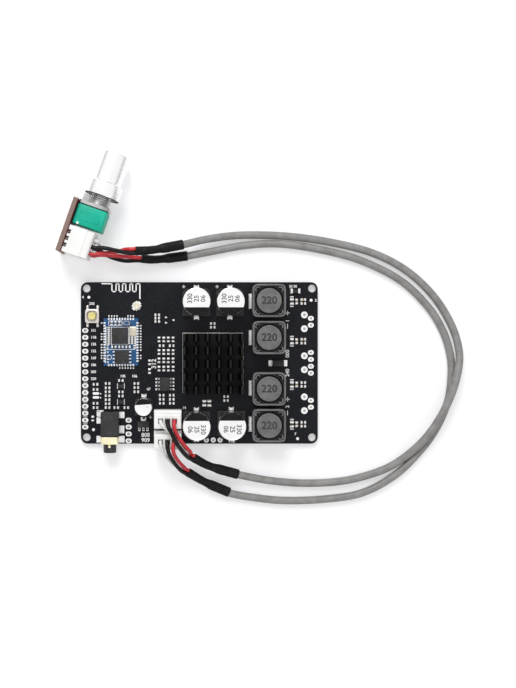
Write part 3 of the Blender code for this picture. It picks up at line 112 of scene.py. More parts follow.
# Soldered pads round the jack: length, width and middle, seen from its axis
JACK_PADS = ((1.3, 2.0, -4.5, -18.7), (2.6, 0.7, -3.8, -17.75), (1.4, 2.4, -4.5, -21.2),
             (2.1, 2.4, 4.1, -19.2), (2.0, 2.9, 4.1, -24.5), (1.4, 2.5, -4.5, -28.1), (2.2, 2.5, 4.1, -28.1))
HEADER_PLACES = ((-11.5, -20.7), (-11.5, -28.2))
ROWS = ("upper", "lower")
PIN_PITCH = 2.5
PINS = ROW * PIN_PITCH
PLUG_TOP = 9.8

# Volume control: u across, v along its axis, w up
CONTROL_PLACE = np.array((-35.5, 60.4, 6.6))
CONTROL_TURN = math.radians(-19.3)
CONTROL_U = np.array((math.cos(CONTROL_TURN), math.sin(CONTROL_TURN), 0.0))
CONTROL_V = np.array((-math.sin(CONTROL_TURN), math.cos(CONTROL_TURN), 0.0))
CONTROL_UP = np.array((0.0, 0.0, 1.0))
CONTROL_PLUG = (2.8, -18.5)
CONTROL_BOARD = -7.0
CONTROL_RISES = (3.4, -3.4)
POT_SHIFT = -1.1

# Leads, along the routes of the solids. Only the lengths are in metres.
CABLE_DIAMETER = 2.8
SLEEVE_WIDTHS = (3.4, 3.0, 3.7)
WIRE_WIDTHS = {"white": 1.25, "black": 1.5, "red": 1.4}
WIRE_ORDER = {"white": -1, "black": 0, "red": 1}
GAP = 0.3
FLOOR = -0.4
CABLE_ROUTES = {
    "first": ((1.7, 45.2, 3.3), (10.5, 46.7, 1.5), (19.5, 47.2, 1.0), (32.7, 46.7, 1.0), (48.0, 44.6, 1.0),
        (63.8, 40.6, 1.0), (76.5, 34.0, 1.0), (86.5, 24.6, 1.0), (93.0, 14.0, 1.1), (95.6, 4.6, 1.9),
        (94.8, -3.0, 3.6), (92.2, -11.5, 4.3), (88.0, -20.0, 4.3), (82.3, -28.1, 3.7), (74.6, -35.4, 1.8),
        (66.7, -39.9, 1.0), (54.0, -43.4, 1.0), (40.1, -44.4, 1.0), (27.0, -43.5, 1.3)),
    "second": ((5.0, 41.2, 1.0), (17.2, 43.4, 1.0), (30.0, 43.9, 1.0), (45.0, 41.7, 1.0), (60.0, 37.6, 1.0),
        (74.1, 30.5, 1.0), (84.0, 21.2, 1.0), (89.8, 12.0, 1.0), (92.6, 3.0, 1.0), (93.0, -5.0, 1.0),
        (91.6, -14.5, 1.0), (87.3, -24.4, 1.0), (81.0, -33.0, 1.0), (72.0, -41.6, 1.0), (60.0, -48.0, 1.0),
        (46.0, -50.3, 1.0), (31.3, -50.8, 1.0), (20.0, -49.7, 1.0)),
}
SLEEVE_ROUTES = {
    "first_control": ((-23.2, 40.6, 8.6), (-16.5, 41.2, 7.4), (-6.9, 43.1, 5.6)),
    "second_control": ((-21.4, 38.4, 2.4), (-15.9, 38.1, 1.8), (-5.4, 39.35, 1.6)),
    "first_board": ((-2.2, -34.3, 7.0), (3.7, -37.6, 5.0), (13.2, -40.6, 2.9)),
    "second_board": ((-4.3, -39.9, 4.0), (2.1, -43.8, 2.4), (10.2, -47.4, 1.5)),
}
# For each wire: its side and up offset at the sleeve, then the middle of its route
BUNDLES = {
    "first_control": {
        "white": ((0.0, -0.95), (-35.9, 42.9, 8.6), (-32.0, 41.6, 6.6), (-28.0, 40.9, 6.2)),
        "black": ((-0.8, 0.4), (-34.2, 41.5, 10.5), (-29.8, 40.6, 10.3), (-26.4, 39.9, 9.5)),
        "red": ((0.75, 0.5), (-36.0, 39.6, 9.6), (-30.5, 40.3, 8.1), (-26.8, 41.2, 8.6)),
    },
    "second_control": {
        "white": ((0.75, -0.55), (-35.6, 43.0, 2.8), (-32.0, 41.3, 2.4), (-27.0, 39.9, 1.8)),
        "black": ((-0.8, -0.3), (-36.3, 41.0, 2.6), (-32.5, 38.9, 1.9), (-27.5, 37.6, 1.8)),
        "red": ((0.2, 0.9), (-36.6, 39.5, 4.4), (-32.5, 39.3, 5.0), (-27.0, 38.9, 4.2)),
    },
    "first_board": {
        "white": ((0.0, -0.95), (-13.0, -22.4, 13.0), (-9.9, -25.2, 12.7), (-7.3, -28.7, 12.2),
            (-5.4, -31.6, 10.1), (-4.1, -33.4, 7.9)),
        "black": ((-0.75, 0.55), (-11.2, -22.4, 14.0), (-9.6, -25.6, 14.4), (-7.6, -29.2, 14.2),
            (-5.6, -32.2, 12.0), (-4.0, -34.0, 9.6)),
        "red": ((0.65, 0.4), (-9.1, -23.0, 13.4), (-7.5, -26.4, 13.2), (-5.3, -29.5, 12.0),
            (-3.3, -31.9, 9.9)),
    },
    "second_board": {
        "white": ((-0.1, -0.95), (-13.8, -29.6, 13.0), (-12.6, -32.6, 11.6), (-10.3, -35.8, 7.9),
            (-7.5, -38.3, 4.7)),
        "black": ((-0.75, 0.5), (-11.5, -29.8, 13.3), (-10.8, -32.6, 12.4), (-8.9, -36.2, 9.3),
            (-6.9, -38.9, 6.3)),
        "red": ((0.65, 0.5), (-9.5, -29.7, 13.2), (-9.1, -32.5, 12.4), (-7.4, -35.6, 9.4),
            (-5.3, -38.1, 6.6)),
    },
}

# Camera straight above the board, and the picture's shift
CAMERA_PLACE = (-0.00343, 0.00844, 0.3766)
CAMERA_LENS = 53.25
CAMERA_SHIFT = (0.0988, -0.0058)
CAMERA_RANGE = (0.01, 10.0)

# Lamps: place, size and power
REAR_LAMP = ((-0.12, 0.58, 0.6), 0.4, 3.9)
FRONT_LAMP = ((0.25, -0.6, 0.55), 0.5, 0.8)
FLOOR_RADIUS = 1500.0
FLOOR_FADE = (0.2, 0.4)


# Shells: (points, face sizes, face corners), all in millimetres

def outline(length, width, radius, sides=32):
    """Rectangle with round corners by angle a: x = sign(cos a)(length/2 - radius) + radius cos a, and
    y = sign(sin a)(width/2 - radius) + radius sin a. Half a step keeps every point off the axes."""
    angle = (np.arange(sides) + 0.5) * TURN / sides
    x = np.sign(np.cos(angle)) * (length / 2 - radius) + radius * np.cos(angle)
    y = np.sign(np.sin(angle)) * (width / 2 - radius) + radius * np.sin(angle)
    return np.stack([x, y], axis=-1)


def circle(radius, sides=32):
    """Round outline: an outline whose corners meet."""
    return outline(2 * radius, 2 * radius, radius, sides)


def outwards(shell):
    """Turn a closed shell so that its volume, the sum of first . (corner x next) / 6, is positive."""
    points, sizes, corners = shell
    starts = np.cumsum(sizes) - sizes
    following = np.roll(corners, -1)
    following[starts + sizes - 1] = corners[starts]
    first = points[np.repeat(corners[starts], sizes)]
    volume = np.sum(first * np.cross(points[corners], points[following]))
    if volume < 0:
        return points, sizes[::-1], corners[::-1]
    return points, sizes, corners


def skin(grid, ring=False):
    """Quads (i, j), (i, j+1), (i+1, j+1), (i+1, j) over a grid whose columns close. Flat ends close the
    first and last rows, or the rows join each other where ring is true."""
    rows, columns = grid.shape[:2]
    i, j = np.meshgrid(np.arange(rows if ring else rows - 1), np.arange(columns), indexing="ij")
    after = (i + 1) % rows
    beside = (j + 1) % columns
    here, there = i * columns, after * columns
    quads = np.stack([here + j, here + beside, there + beside, there + j], -1)
    corners = quads.ravel()
    sizes = np.full(i.size, 4)
    if not ring:
        first = np.arange(columns)[::-1]
        last = (rows - 1) * columns + np.arange(columns)
        corners = np.concatenate([corners, first, last])
        sizes = np.append(sizes, [columns, columns])
    return outwards((grid.reshape(-1, 3), sizes, corners))


def turned(profile, sides=64, ring=False):
    """Solid of revolution about Z: each (radius, height) of the profile swept through all angles."""
    profile = np.array(profile, float)
    flat = profile[:, None, :1] * circle(1.0, sides)[None]
    height = np.broadcast_to(profile[:, None, 1:], (len(profile), sides, 1))
    return skin(np.concatenate([flat, height], axis=-1), ring)


def risen(rows, ring=False):
    """Outlines carried up through heights: rows of (outline, height) with as many points each."""
    grid = np.stack([np.column_stack([shape, np.full(len(shape), height)]) for shape, height in rows])
    return skin(grid, ring)


def block(length, width, low, high, corner, edge, sides=16, steps=2):
    """Block with round corners and edges. Over t from 0 to a quarter turn the outline is drawn in by
    edge(1 - sin t) at height low + edge(1 - cos t), and the same from the top down."""
    t = np.linspace(0, math.pi / 2, steps + 1)
    inset = edge * (1 - np.sin(t))
    rise = edge * (1 - np.cos(t))
    rows = [(outline(length - 2 * a, width - 2 * a, max(corner - a, 0.01), sides), low + b)
            for a, b in zip(inset, rise)]
    rows += [(outline(length - 2 * a, width - 2 * a, max(corner - a, 0.01), sides), high - b)
             for a, b in zip(inset[::-1], rise[::-1])]
    return risen(rows)


def stacked(rows, ring=False, sides=32):
    """Rectangles with round corners carried up: rows of length, width, corner radius and height."""
    return risen([(outline(*shape, sides), height) for *shape, height in rows], ring)


def land(length, width, thickness=PAD_LIFT, corner=0.12, edge=0.01, sides=8, low=BOARD_TOP):
    """Flat pad or drop of solder."""
    return block(length, width, low, low + thickness, corner, edge, sides, 1)


def carried(section, path, scale=None, order=None):
    """A closed section carried along a path: point = path + scale(a side + b up), where side is the
    direction the path heads along least, crossed with the heading, and up is heading x side. The order
    names the path's points row by row, so that a shell can turn back inside itself."""
    path = np.asarray(path, float)
    heading = np.gradient(path, axis=0)
    heading /= np.linalg.norm(heading, axis=1, keepdims=True)
    across = np.linalg.svd(heading, full_matrices=False)[2][2]
    side = np.cross(across, heading)
    side /= np.linalg.norm(side, axis=1, keepdims=True)
    up = np.cross(heading, side)
    order = np.arange(len(path)) if order is None else np.asarray(order)
    size = np.ones(len(order)) if scale is None else np.asarray(scale, float)
    flat = section[None, :, :1] * side[order, None] + section[None, :, 1:] * up[order, None]
    return skin(path[order, None] + size[:, None, None] * flat)


def extruded(section, width, waist=1.0):
    """A closed (x, z) section carried from y = -width/2 to width/2, drawn towards its first point by
    waist at both ends."""
    section = np.asarray(section, float)
    pulled = section[0] + (section - section[0]) * waist
    y = np.array([-0.5, -0.4, 0.4, 0.5]) * width
    rows = [np.column_stack([s[:, 0], np.full(len(s), v), s[:, 1]])
            for s, v in zip((pulled, section, section, pulled), y)]
    return skin(np.stack(rows))


def together(*shells):
    """Several shells as one."""
    offsets = np.cumsum([0] + [len(s[0]) for s in shells[:-1]])
    return (np.concatenate([s[0] for s in shells]),
            np.concatenate([s[1] for s in shells]),
            np.concatenate([s[2] + offset for s, offset in zip(shells, offsets)]))


def moved(shell, x=0.0, y=0.0, z=0.0):
    """The shell shifted."""
    return shell[0] + np.array((x, y, z)), shell[1], shell[2]


def placed(shell, across, along, up, origin):
    """The shell with its x, y and z laid along three directions from an origin."""
    basis = np.array((across, along, up), float)
    return outwards((shell[0] @ basis + np.asarray(origin, float), shell[1], shell[2]))


def repeated(shell, places, turns=0.0):
    """One shell at many (x, y) or (x, y, z) places, each turned about Z by its angle in degrees."""
    points, sizes, corners = shell
    places = np.atleast_2d(np.asarray(places, float))
    places = np.column_stack([places, np.zeros((len(places), 3 - places.shape[1]))])
    angle = np.radians(np.broadcast_to(turns, len(places)))[:, None]
    x = points[:, 0] * np.cos(angle) - points[:, 1] * np.sin(angle)
    y = points[:, 0] * np.sin(angle) + points[:, 1] * np.cos(angle)
    z = np.broadcast_to(points[:, 2], x.shape)
    spread = np.stack([x, y, z], axis=-1) + places[:, None]
    offsets = np.arange(len(places))[:, None] * len(points)
    return spread.reshape(-1, 3), np.tile(sizes, len(places)), (corners[None] + offsets).ravel()


def grid(xs, ys):
    """Places at every crossing of columns and rows."""
    return [(x, y) for x in xs for y in ys]


def chained(points, closed=False):
    """Segments that join points one after another, and the last to the first where closed."""
    return list(zip(points, points[1:] + points[:1] if closed else points[1:]))


def relief(xs, ys, height, low):
    """Block whose top is z = height(x, y) over a grid of lines, with straight sides and a flat bottom."""
    x, y = np.meshgrid(xs, ys, indexing="ij")
    top = np.stack([x, y, height(x, y)], axis=-1)
    rows, columns = x.shape
    number = np.arange(rows * columns).reshape(rows, columns)
    quads = np.stack([number[:-1, :-1], number[1:, :-1], number[1:, 1:], number[:-1, 1:]], axis=-1)
    rim = np.concatenate([number[:-1, 0], number[-1, :-1], number[:0:-1, -1], number[0, :0:-1]])
    foot = top.reshape(-1, 3)[rim].copy()
    foot[:, 2] = low
    below = rows * columns + np.arange(len(rim))
    sides = np.stack([rim, below, np.roll(below, -1), np.roll(rim, -1)], axis=-1)
    sizes = np.concatenate([np.full(quads[..., 0].size + len(rim), 4), [len(rim)]])
    corners = np.concatenate([quads.ravel(), sides.ravel(), below[::-1]])
    return outwards((np.concatenate([top.reshape(-1, 3), foot]), sizes, corners))


def bars(segments, width, low, thickness=PRINT_LIFT, corner=None):
    """Flat strips between pairs of (x, y) points, each run on by half its width, with round ends unless a
    corner radius is given."""
    shells = []
    for start, end in segments:
        dx, dy = end[0] - start[0], end[1] - start[1]
        strip = block(math.hypot(dx, dy) + width, width, low, low + thickness, corner or width / 2,
                      thickness / 3, 8, 1)
        middle = ((start[0] + end[0]) / 2, (start[1] + end[1]) / 2)
        shells.append(repeated(strip, [middle], math.degrees(math.atan2(dy, dx))))
    return together(*shells)


def numerals(text, height, low, place, turn=0.0, bold=0.05):
    """Printed numerals as thin solids, centred at a place and turned about Z in degrees."""
    curve = bpy.data.curves.new("numerals", "FONT")
    curve.body = text
    curve.size = height / 0.72
    curve.align_x = "CENTER"
    curve.align_y = "CENTER"
    curve.extrude = PRINT_LIFT / 2
    curve.offset = bold
    curve.resolution_u = 3
    carrier = bpy.data.objects.new("numerals", curve)
    mesh = bpy.data.meshes.new_from_object(carrier)
    points = np.zeros(len(mesh.vertices) * 3)
    mesh.vertices.foreach_get("co", points)
    corners = np.zeros(len(mesh.loops), np.int32)
    mesh.loops.foreach_get("vertex_index", corners)
    sizes = np.zeros(len(mesh.polygons), np.int32)
    mesh.polygons.foreach_get("loop_total", sizes)
    bpy.data.objects.remove(carrier)
    bpy.data.curves.remove(curve)
    bpy.data.meshes.remove(mesh)
    return repeated((points.reshape(-1, 3), sizes, corners), [(*place, low + PRINT_LIFT / 2)], turn)


def linked(name, data):
    """An object of this data, in the scene."""
    thing = bpy.data.objects.new(name, data)
    bpy.context.scene.collection.objects.link(thing)
    return thing


def piece(name, shell, material, slot, replaces=(), body=BODY):
    """Make a shell into a named piece that rides on a body."""
    points, sizes, corners = shell
    mesh = bpy.data.meshes.new(name)
    mesh.vertices.add(len(points))
    mesh.vertices.foreach_set("co", (points * MM).astype(np.float32).ravel())
    mesh.loops.add(len(corners))
    mesh.loops.foreach_set("vertex_index", corners.astype(np.int32))
    mesh.polygons.add(len(sizes))
    mesh.polygons.foreach_set("loop_start", (np.cumsum(sizes) - sizes).astype(np.int32))
    mesh.update(calc_edges=True)
    mesh.validate()
    mesh.shade_smooth()
    mesh.set_sharp_from_angle(angle=math.radians(SHARP_ANGLE))
    mesh.materials.append(material)
    thing = linked(name, mesh)
    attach(thing, body)
    if replaces:
        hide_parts(*replaces)
    return thing


# Shader groups

def add_node(tree, kind, inputs=None, **settings):
    """Add a shader node: its settings, then each input as a value or as a link from a socket. Gives the
    node's outputs."""
    node = tree.nodes.new("ShaderNode" + kind)
    for label, value in settings.items():
        setattr(node, label, value)
    for label, value in (inputs or {}).items():
        socket = node.inputs[label]
        if isinstance(value, bpy.types.NodeSocket):
            tree.links.new(value, socket)
        else:
            socket.default_value = (*value, 1.0) if socket.type == "RGBA" else value
    return node.outputs


def new_group(name, inputs, outputs):
    """Empty shader group with its named sockets: the group, what comes in and what goes out."""
    group = bpy.data.node_groups.new(name, "ShaderNodeTree")
    for label, value in inputs.items():
        kind = "NodeSocketFloat" if isinstance(value, float) else "NodeSocketVector"
        socket = group.interface.new_socket(label, in_out="INPUT", socket_type=kind)
        socket.default_value = value
    for label in outputs:
        group.interface.new_socket(label, in_out="OUTPUT", socket_type="NodeSocketFloat")
    return group, group.nodes.new("NodeGroupInput").outputs, group.nodes.new("NodeGroupOutput").inputs


def grain_group():
    """Two sizes of noise: the value wanders between 0 and 1, the height is its fine part."""
    group, inside, outside = new_group("grain", {"Vector": NOWHERE, "Scale": 1000.0}, ("Value", "Height"))
    place, scale = inside["Vector"], inside["Scale"]
    wide = add_node(group, "Math", {0: scale, 1: 0.12}, operation="MULTIPLY")[0]
    coarse = add_node(group, "TexNoise", {"Vector": place, "Scale": wide, "Detail": 3.0})[0]
    fine = add_node(group, "TexNoise", {"Vector": place, "Scale": scale, "Detail": 2.0})[0]
    spread = add_node(group, "MapRange", {"Value": coarse, "From Min": 0.32, "From Max": 0.68})[0]
    group.links.new(spread, outside["Value"])
    group.links.new(fine, outside["Height"])
    return group


def streak_group():
    """Noise drawn out along one direction, as brushing, turning and rolling leave it."""
    inputs = {"Vector": NOWHERE, "Stretch": (1.0, 1.0, 1.0), "Scale": 1000.0}
    group, inside, outside = new_group("streaks", inputs, ("Value",))
    drawn = add_node(group, "VectorMath", {0: inside["Vector"], 1: inside["Stretch"]},
                     operation="MULTIPLY")[0]
    noise = add_node(group, "TexNoise", {"Vector": drawn, "Scale": inside["Scale"], "Detail": 4.0})[0]
    group.links.new(noise, outside["Value"])
    return group


def dust_group():
    """Mask of settled dust and scuffs: thresholded noise, stronger where the surface faces up."""
    inputs = {"Vector": NOWHERE, "Scale": 900.0, "Amount": 0.1}
    group, inside, outside = new_group("dust", inputs, ("Mask",))
    noise = add_node(group, "TexNoise", {"Vector": inside["Vector"], "Scale": inside["Scale"], "Detail": 5.0,
                                         "Roughness": 0.7})[0]
    cut = add_node(group, "MapRange", {"Value": noise, "From Min": 0.52, "From Max": 0.72})[0]
    normal = add_node(group, "NewGeometry")["Normal"]
    rise = add_node(group, "SeparateXYZ", {0: normal})["Z"]
    upward = add_node(group, "MapRange", {"Value": rise, "From Min": -0.2, "To Min": 0.25})[0]
    both = add_node(group, "Math", {0: cut, 1: upward}, operation="MULTIPLY")[0]
    amount = add_node(group, "Math", {0: both, 1: inside["Amount"]}, operation="MULTIPLY")[0]
    group.links.new(amount, outside["Mask"])
    return group


GRAIN = grain_group()
STREAKS = streak_group()
DUST = dust_group()


# Finishes

class Finish:
    """A Principled material in the making: its nodes, its links and the few steps that all share."""

    def __init__(self, name, **constants):
        self.material = bpy.data.materials.new(name)
        self.material.use_nodes = True
        self.tree = self.material.node_tree
        self.shader = self.tree.nodes["Principled BSDF"]
        self.place = self.add("TexCoord")["Object"]
        for label, value in constants.items():
            socket = self.shader.inputs[label.replace("_", " ").title().replace("Ior", "IOR")]
            socket.default_value = value

    def add(self, kind, inputs=None, **settings):
        """A node of this material, as its outputs."""
        return add_node(self.tree, kind, inputs, **settings)

    def group(self, group, **values):
        """A shader group that reads the object's own coordinates."""
        return self.add("Group", {"Vector": self.place, **values}, node_tree=group)

    def along(self, vector, direction):
        """A vector's share along a direction: their dot product."""
        return self.add("VectorMath", {0: vector, 1: direction}, operation="DOT_PRODUCT")["Value"]

    def facing(self, direction, start, end):
        """How squarely the surface faces along a direction, either way, with start and end at 0 and 1."""
        share = self.along(self.add("NewGeometry")["Normal"], direction)
        return self.between(self.add("Math", {0: share}, operation="ABSOLUTE")[0], 0.0, 1.0, start, end)

    def blend(self, mask, first, second):
        """Colour between two, each a colour or a socket, by a mask."""
        return self.add("Mix", {0: mask, 6: first, 7: second}, data_type="RGBA")[2]

    def between(self, value, low, high, start=0.0, end=1.0):
        """A value spread from start and end to low and high."""
        inputs = {"Value": value, "From Min": start, "From Max": end, "To Min": low, "To Max": high}
        return self.add("MapRange", inputs)[0]

    def bump(self, height, strength, distance, **before):
        """Relief from a height, in millimetres, over an earlier Normal if one is given."""
        inputs = {"Height": height, "Strength": strength, "Distance": distance * MM}
        return self.add("Bump", {**inputs, **before})[0]

    def done(self, colour, roughness, normal):
        """Feed the shader and give the material."""
        for label, socket in (("Base Color", colour), ("Roughness", roughness), ("Normal", normal)):
            self.tree.links.new(socket, self.shader.inputs[label])
        return self.material


def moulded(name, dark, light, rough=(0.35, 0.5), scale=1500.0, depth=0.01, strength=0.5, dust=0.08,
            spread=900.0, dust_colour=(0.45, 0.44, 0.42), **constants):
    """Moulded plastic, epoxy or ferrite: two near colours in a grain, fine relief and a little dust."""
    made = Finish(name, **constants)
    grain = made.group(GRAIN, Scale=scale)
    specks = made.group(DUST, Amount=dust, Scale=spread)["Mask"]
    colour = made.blend(specks, made.blend(grain["Value"], dark, light), dust_colour)
    normal = made.bump(grain["Height"], strength, depth)
    return made.done(colour, made.between(grain["Value"], *rough), normal)


def jacket(name, dark, light, rough=(0.42, 0.58), depth=0.02, dust=0.1, **constants):
    """Cable jacket or wire insulation: soft, with a fine matt grain and finger marks."""
    return moulded(name, dark, light, rough, 2600.0, depth, 0.6, dust, 500.0, (0.6, 0.6, 0.58), **constants)


def plated(name, dark, light, metallic=1.0, rough=(0.2, 0.38), stretch=(1.0, 1.0, 1.0), scale=900.0,
           depth=0.006):
    """Metal with streaks along one direction and soft tarnish between two tones."""
    made = Finish(name, metallic=metallic)
    streak = made.group(STREAKS, Stretch=stretch, Scale=scale)["Value"]
    colour = made.blend(made.group(GRAIN, Scale=scale)["Value"], dark, light)
    return made.done(colour, made.between(streak, *rough, 0.35, 0.65), made.bump(streak, 0.4, depth))


def turned_metal(name, dark, light, rough=(0.16, 0.3), metallic=0.9):
    """Aluminium turned about the volume control's axis: rings whose tone follows the distance along it."""
    made = Finish(name, metallic=metallic)
    distance = made.along(made.place, CONTROL_V)
    rings = made.add("TexNoise", {"W": distance, "Scale": 9000.0, "Detail": 2.0}, noise_dimensions="1D")[0]
    colour = made.blend(made.group(GRAIN, Scale=700.0)["Value"], dark, light)
    return made.done(colour, made.between(rings, *rough, 0.3, 0.7), made.bump(rings, 0.15, 0.002))


def solder_mask():
    """Black board: glossy mask with the weave of the glass under it, fibres and resin at the cut edge."""
    made = Finish("solder_mask", specular_ior_level=0.13)
    grain = made.group(GRAIN, Scale=700.0)
    specks = made.group(DUST, Amount=0.05, Scale=1400.0)["Mask"]
    fibres = made.group(STREAKS, Stretch=(0.25, 0.25, 3.0), Scale=2200.0)["Value"]
    weave = made.add("TexChecker", {"Vector": made.place, "Scale": 1600.0})["Fac"]
    mask = made.blend(grain["Value"], (0.005, 0.0056, 0.0085), (0.009, 0.0098, 0.0135))
    edge = made.blend(fibres, (0.018, 0.017, 0.013), (0.075, 0.068, 0.05))
    face = made.blend(specks, mask, (0.3, 0.3, 0.3))
    colour = made.blend(made.facing((0.0, 0.0, 1.0), 0.4, 0.6), edge, face)
    normal = made.bump(grain["Height"], 0.25, 0.01, Normal=made.bump(weave, 0.15, 0.004))
    return made.done(colour, made.between(grain["Value"], 0.3, 0.42), normal)


def blue_mask():
    """Blue board of the radio module, glossy over copper that shows through in lighter patches."""
    made = Finish("blue_mask", specular_ior_level=0.4)
    grain = made.group(GRAIN, Scale=1800.0)["Value"]
    cells = made.add("TexVoronoi", {"Vector": made.place, "Scale": 900.0}, feature="DISTANCE_TO_EDGE")
    copper = made.between(cells["Distance"], 0.0, 1.0, 0.05, 0.08)
    mask = made.blend(grain, (0.005, 0.07, 0.2), (0.01, 0.115, 0.3))
    colour = made.blend(copper, (0.004, 0.04, 0.13), mask)
    return made.done(colour, made.between(grain, 0.28, 0.42), made.bump(copper, 0.4, 0.02))


def phenolic():
    """Resin bonded paper board: grey brown and layered at its cut edge, dark red on its faces."""
    made = Finish("phenolic", specular_ior_level=0.4)
    grain = made.group(GRAIN, Scale=1300.0)["Value"]
    stretch = (CONTROL_U[0] * 6, 6 * abs(CONTROL_U[1]), 0.2)
    layers = made.group(STREAKS, Stretch=stretch, Scale=900.0)["Value"]
    edge = made.blend(layers, (0.15, 0.1, 0.085), (0.34, 0.24, 0.2))
    mask = made.blend(grain, (0.17, 0.01, 0.012), (0.26, 0.018, 0.02))
    colour = made.blend(made.facing(CONTROL_U, 0.5, 0.7), edge, mask)
    return made.done(colour, made.between(grain, 0.4, 0.6), made.bump(layers, 0.5, 0.03))


def anodised():
    """Black anodised extrusion with painted shade: black on and beside each fin along its row, the plain base
    colour in the cross cuts, and lighter at the tips.
    The distance to the nearest fin is the coordinate, less the last fin's, in a back and forth wave."""
    made = Finish("anodised", specular_ior_level=0.06)
    streak = made.group(STREAKS, Stretch=(1.0, 0.1, 1.0), Scale=1300.0)["Value"]
    grain = made.group(GRAIN, Scale=1300.0)["Value"]
    parts = made.add("SeparateXYZ", {0: made.place})
    shade = []
    for label, middle, reach, count, near, far in (
            ("X", SINK_PLACE[0], FIN_SPREAD[0], FIN_COLUMNS, 0.95, 1.35),
            ("Y", SINK_PLACE[1], FIN_SPREAD[1], FIN_ROWS, FIN_LENGTH / 2 - 0.1, FIN_LENGTH / 2 + 0.15)):
        offset = made.add("Math", {0: parts[label], 1: (middle + reach) * MM}, operation="SUBTRACT")[0]
        wave = made.add("Math", {0: offset, 1: reach / (count - 1) * MM}, operation="PINGPONG")[0]
        shade.append(made.between(wave, 1.0, 0.0, near * MM, far * MM))
    # Painted shade: black where a fin column meets a fin row, that is on the fins and in the channels beside
    # them
    painted_fin_shade = made.add("Math", {0: shade[0], 1: shade[1]}, operation="MULTIPLY")[0]
    # Lighter colour over the top 0.25 mm of the fins
    lighter_tips = made.between(parts["Z"], 0.0, 1.0, (SINK_LEVELS[2] - 0.25) * MM, SINK_LEVELS[2] * MM)
    base = made.blend(grain, (0.0075, 0.0075, 0.0072), (0.0125, 0.012, 0.011))
    colour = made.blend(lighter_tips, made.blend(painted_fin_shade, base, (0.0006, 0.0006, 0.0006)), (0.019, 0.0195, 0.0195))
    return made.done(colour, made.between(streak, 0.5, 0.65, 0.35, 0.65), made.bump(streak, 0.4, 0.006))


SOLDER_MASK = solder_mask()
BLUE_MASK = blue_mask()
PHENOLIC = phenolic()
ANODISED = anodised()

PRINT_WHITE = moulded("print_white", (0.74, 0.75, 0.74), (0.86, 0.86, 0.85), dust=0.0, depth=0.004)
PRINT_BLACK = moulded("print_black", (0.0025, 0.0025, 0.003), (0.006, 0.006, 0.0065), (0.4, 0.55), dust=0.02,
                      specular_ior_level=0.15)
PRINT_GREY = moulded("print_grey", (0.06, 0.06, 0.062), (0.12, 0.12, 0.122), dust=0.0)
PRINT_FERRITE = moulded("print_ferrite", (0.012, 0.012, 0.013), (0.028, 0.028, 0.028), dust=0.0)
EPOXY = moulded("epoxy", (0.02, 0.02, 0.021), (0.034, 0.034, 0.036), (0.5, 0.65), 3200.0,
                specular_ior_level=0.3)
RESISTOR = moulded("resistor_glaze", (0.008, 0.008, 0.009), (0.018, 0.018, 0.02), (0.25, 0.4), 2500.0,
                   specular_ior_level=0.3)
CERAMIC = moulded("capacitor_ceramic", (0.035, 0.027, 0.019), (0.075, 0.055, 0.037), scale=2500.0)
CERAMIC_TAN = moulded("capacitor_tan", (0.2, 0.14, 0.07), (0.34, 0.25, 0.14), scale=2500.0)
BASE_PLASTIC = moulded("base_plastic", (0.01, 0.01, 0.011), (0.02, 0.02, 0.021), scale=2200.0,
                       specular_ior_level=0.3)
SHIELD = moulded("shield_ferrite", (0.095, 0.097, 0.1), (0.17, 0.172, 0.175), (0.45, 0.6), 1700.0, 0.03,
                 dust=0.22)
CORE = moulded("core_ferrite", (0.1, 0.1, 0.1), (0.16, 0.16, 0.158), (0.42, 0.58), 2600.0, 0.015, dust=0.14)
COIL_GLUE = moulded("coil_glue", (0.005, 0.005, 0.0055), (0.02, 0.02, 0.021), depth=0.05,
                    specular_ior_level=0.2)
BUTTON_CREAM = moulded("button_cream", (0.72, 0.64, 0.2), (0.88, 0.8, 0.34))
SOCKET_CREAM = moulded("socket_cream", (0.84, 0.82, 0.74), (0.92, 0.9, 0.84), scale=2200.0)
COIL_CLAY = moulded("coil_clay", (0.62, 0.5, 0.48), (0.82, 0.72, 0.7), scale=2200.0)
JACK_BLACK = moulded("jack_black", (0.018, 0.018, 0.019), (0.034, 0.034, 0.036), (0.45, 0.6), 1800.0,
                     specular_ior_level=0.35)
NYLON = moulded("nylon", (0.93, 0.93, 0.915), (0.97, 0.97, 0.96), (0.32, 0.46), 1300.0, dust=0.04,
                dust_colour=(0.7, 0.68, 0.63), subsurface_weight=0.08,
                subsurface_radius=(0.001, 0.001, 0.001))
POT_GREEN = moulded("pot_green", (0.003, 0.42, 0.28), (0.008, 0.52, 0.36), (0.4, 0.55), 1200.0, dust=0.03,
                    specular_ior_level=0.3)
CAN_METAL = moulded("can_metal", (0.9, 0.9, 0.905), (0.96, 0.96, 0.96), (0.17, 0.27), 1100.0, 0.004, 0.15,
                    0.1, 1600.0, (0.75, 0.75, 0.75), metallic=1.0)

TIN = plated("tin", (0.86, 0.865, 0.865), (0.96, 0.96, 0.955), 0.6, (0.3, 0.45), scale=1500.0)
SOLDER = plated("solder", (0.82, 0.83, 0.83), (0.96, 0.96, 0.955), 0.65, (0.25, 0.4), scale=2600.0,
                depth=0.02)
TERMINAL = plated("terminal_tin", (0.62, 0.62, 0.6), (0.85, 0.85, 0.84), 0.7, (0.25, 0.42))
GOLD = plated("gold", (0.86, 0.76, 0.5), (0.96, 0.89, 0.66), 0.8, scale=1400.0)
CRYSTAL_CAN = plated("crystal_can", (0.52, 0.46, 0.36), (0.7, 0.64, 0.53), 0.5, scale=1500.0)
WIRE_ENDS = plated("wire_ends", (0.26, 0.26, 0.265), (0.5, 0.5, 0.505), 0.4, scale=2000.0)
WINDING = plated("winding", (0.1, 0.085, 0.075), (0.26, 0.24, 0.22), 0.5, scale=2000.0)
SWITCH_STEEL = plated("switch_steel", (0.6, 0.55, 0.53), (0.78, 0.73, 0.71), 0.6, stretch=(0.2, 1.0, 1.0))
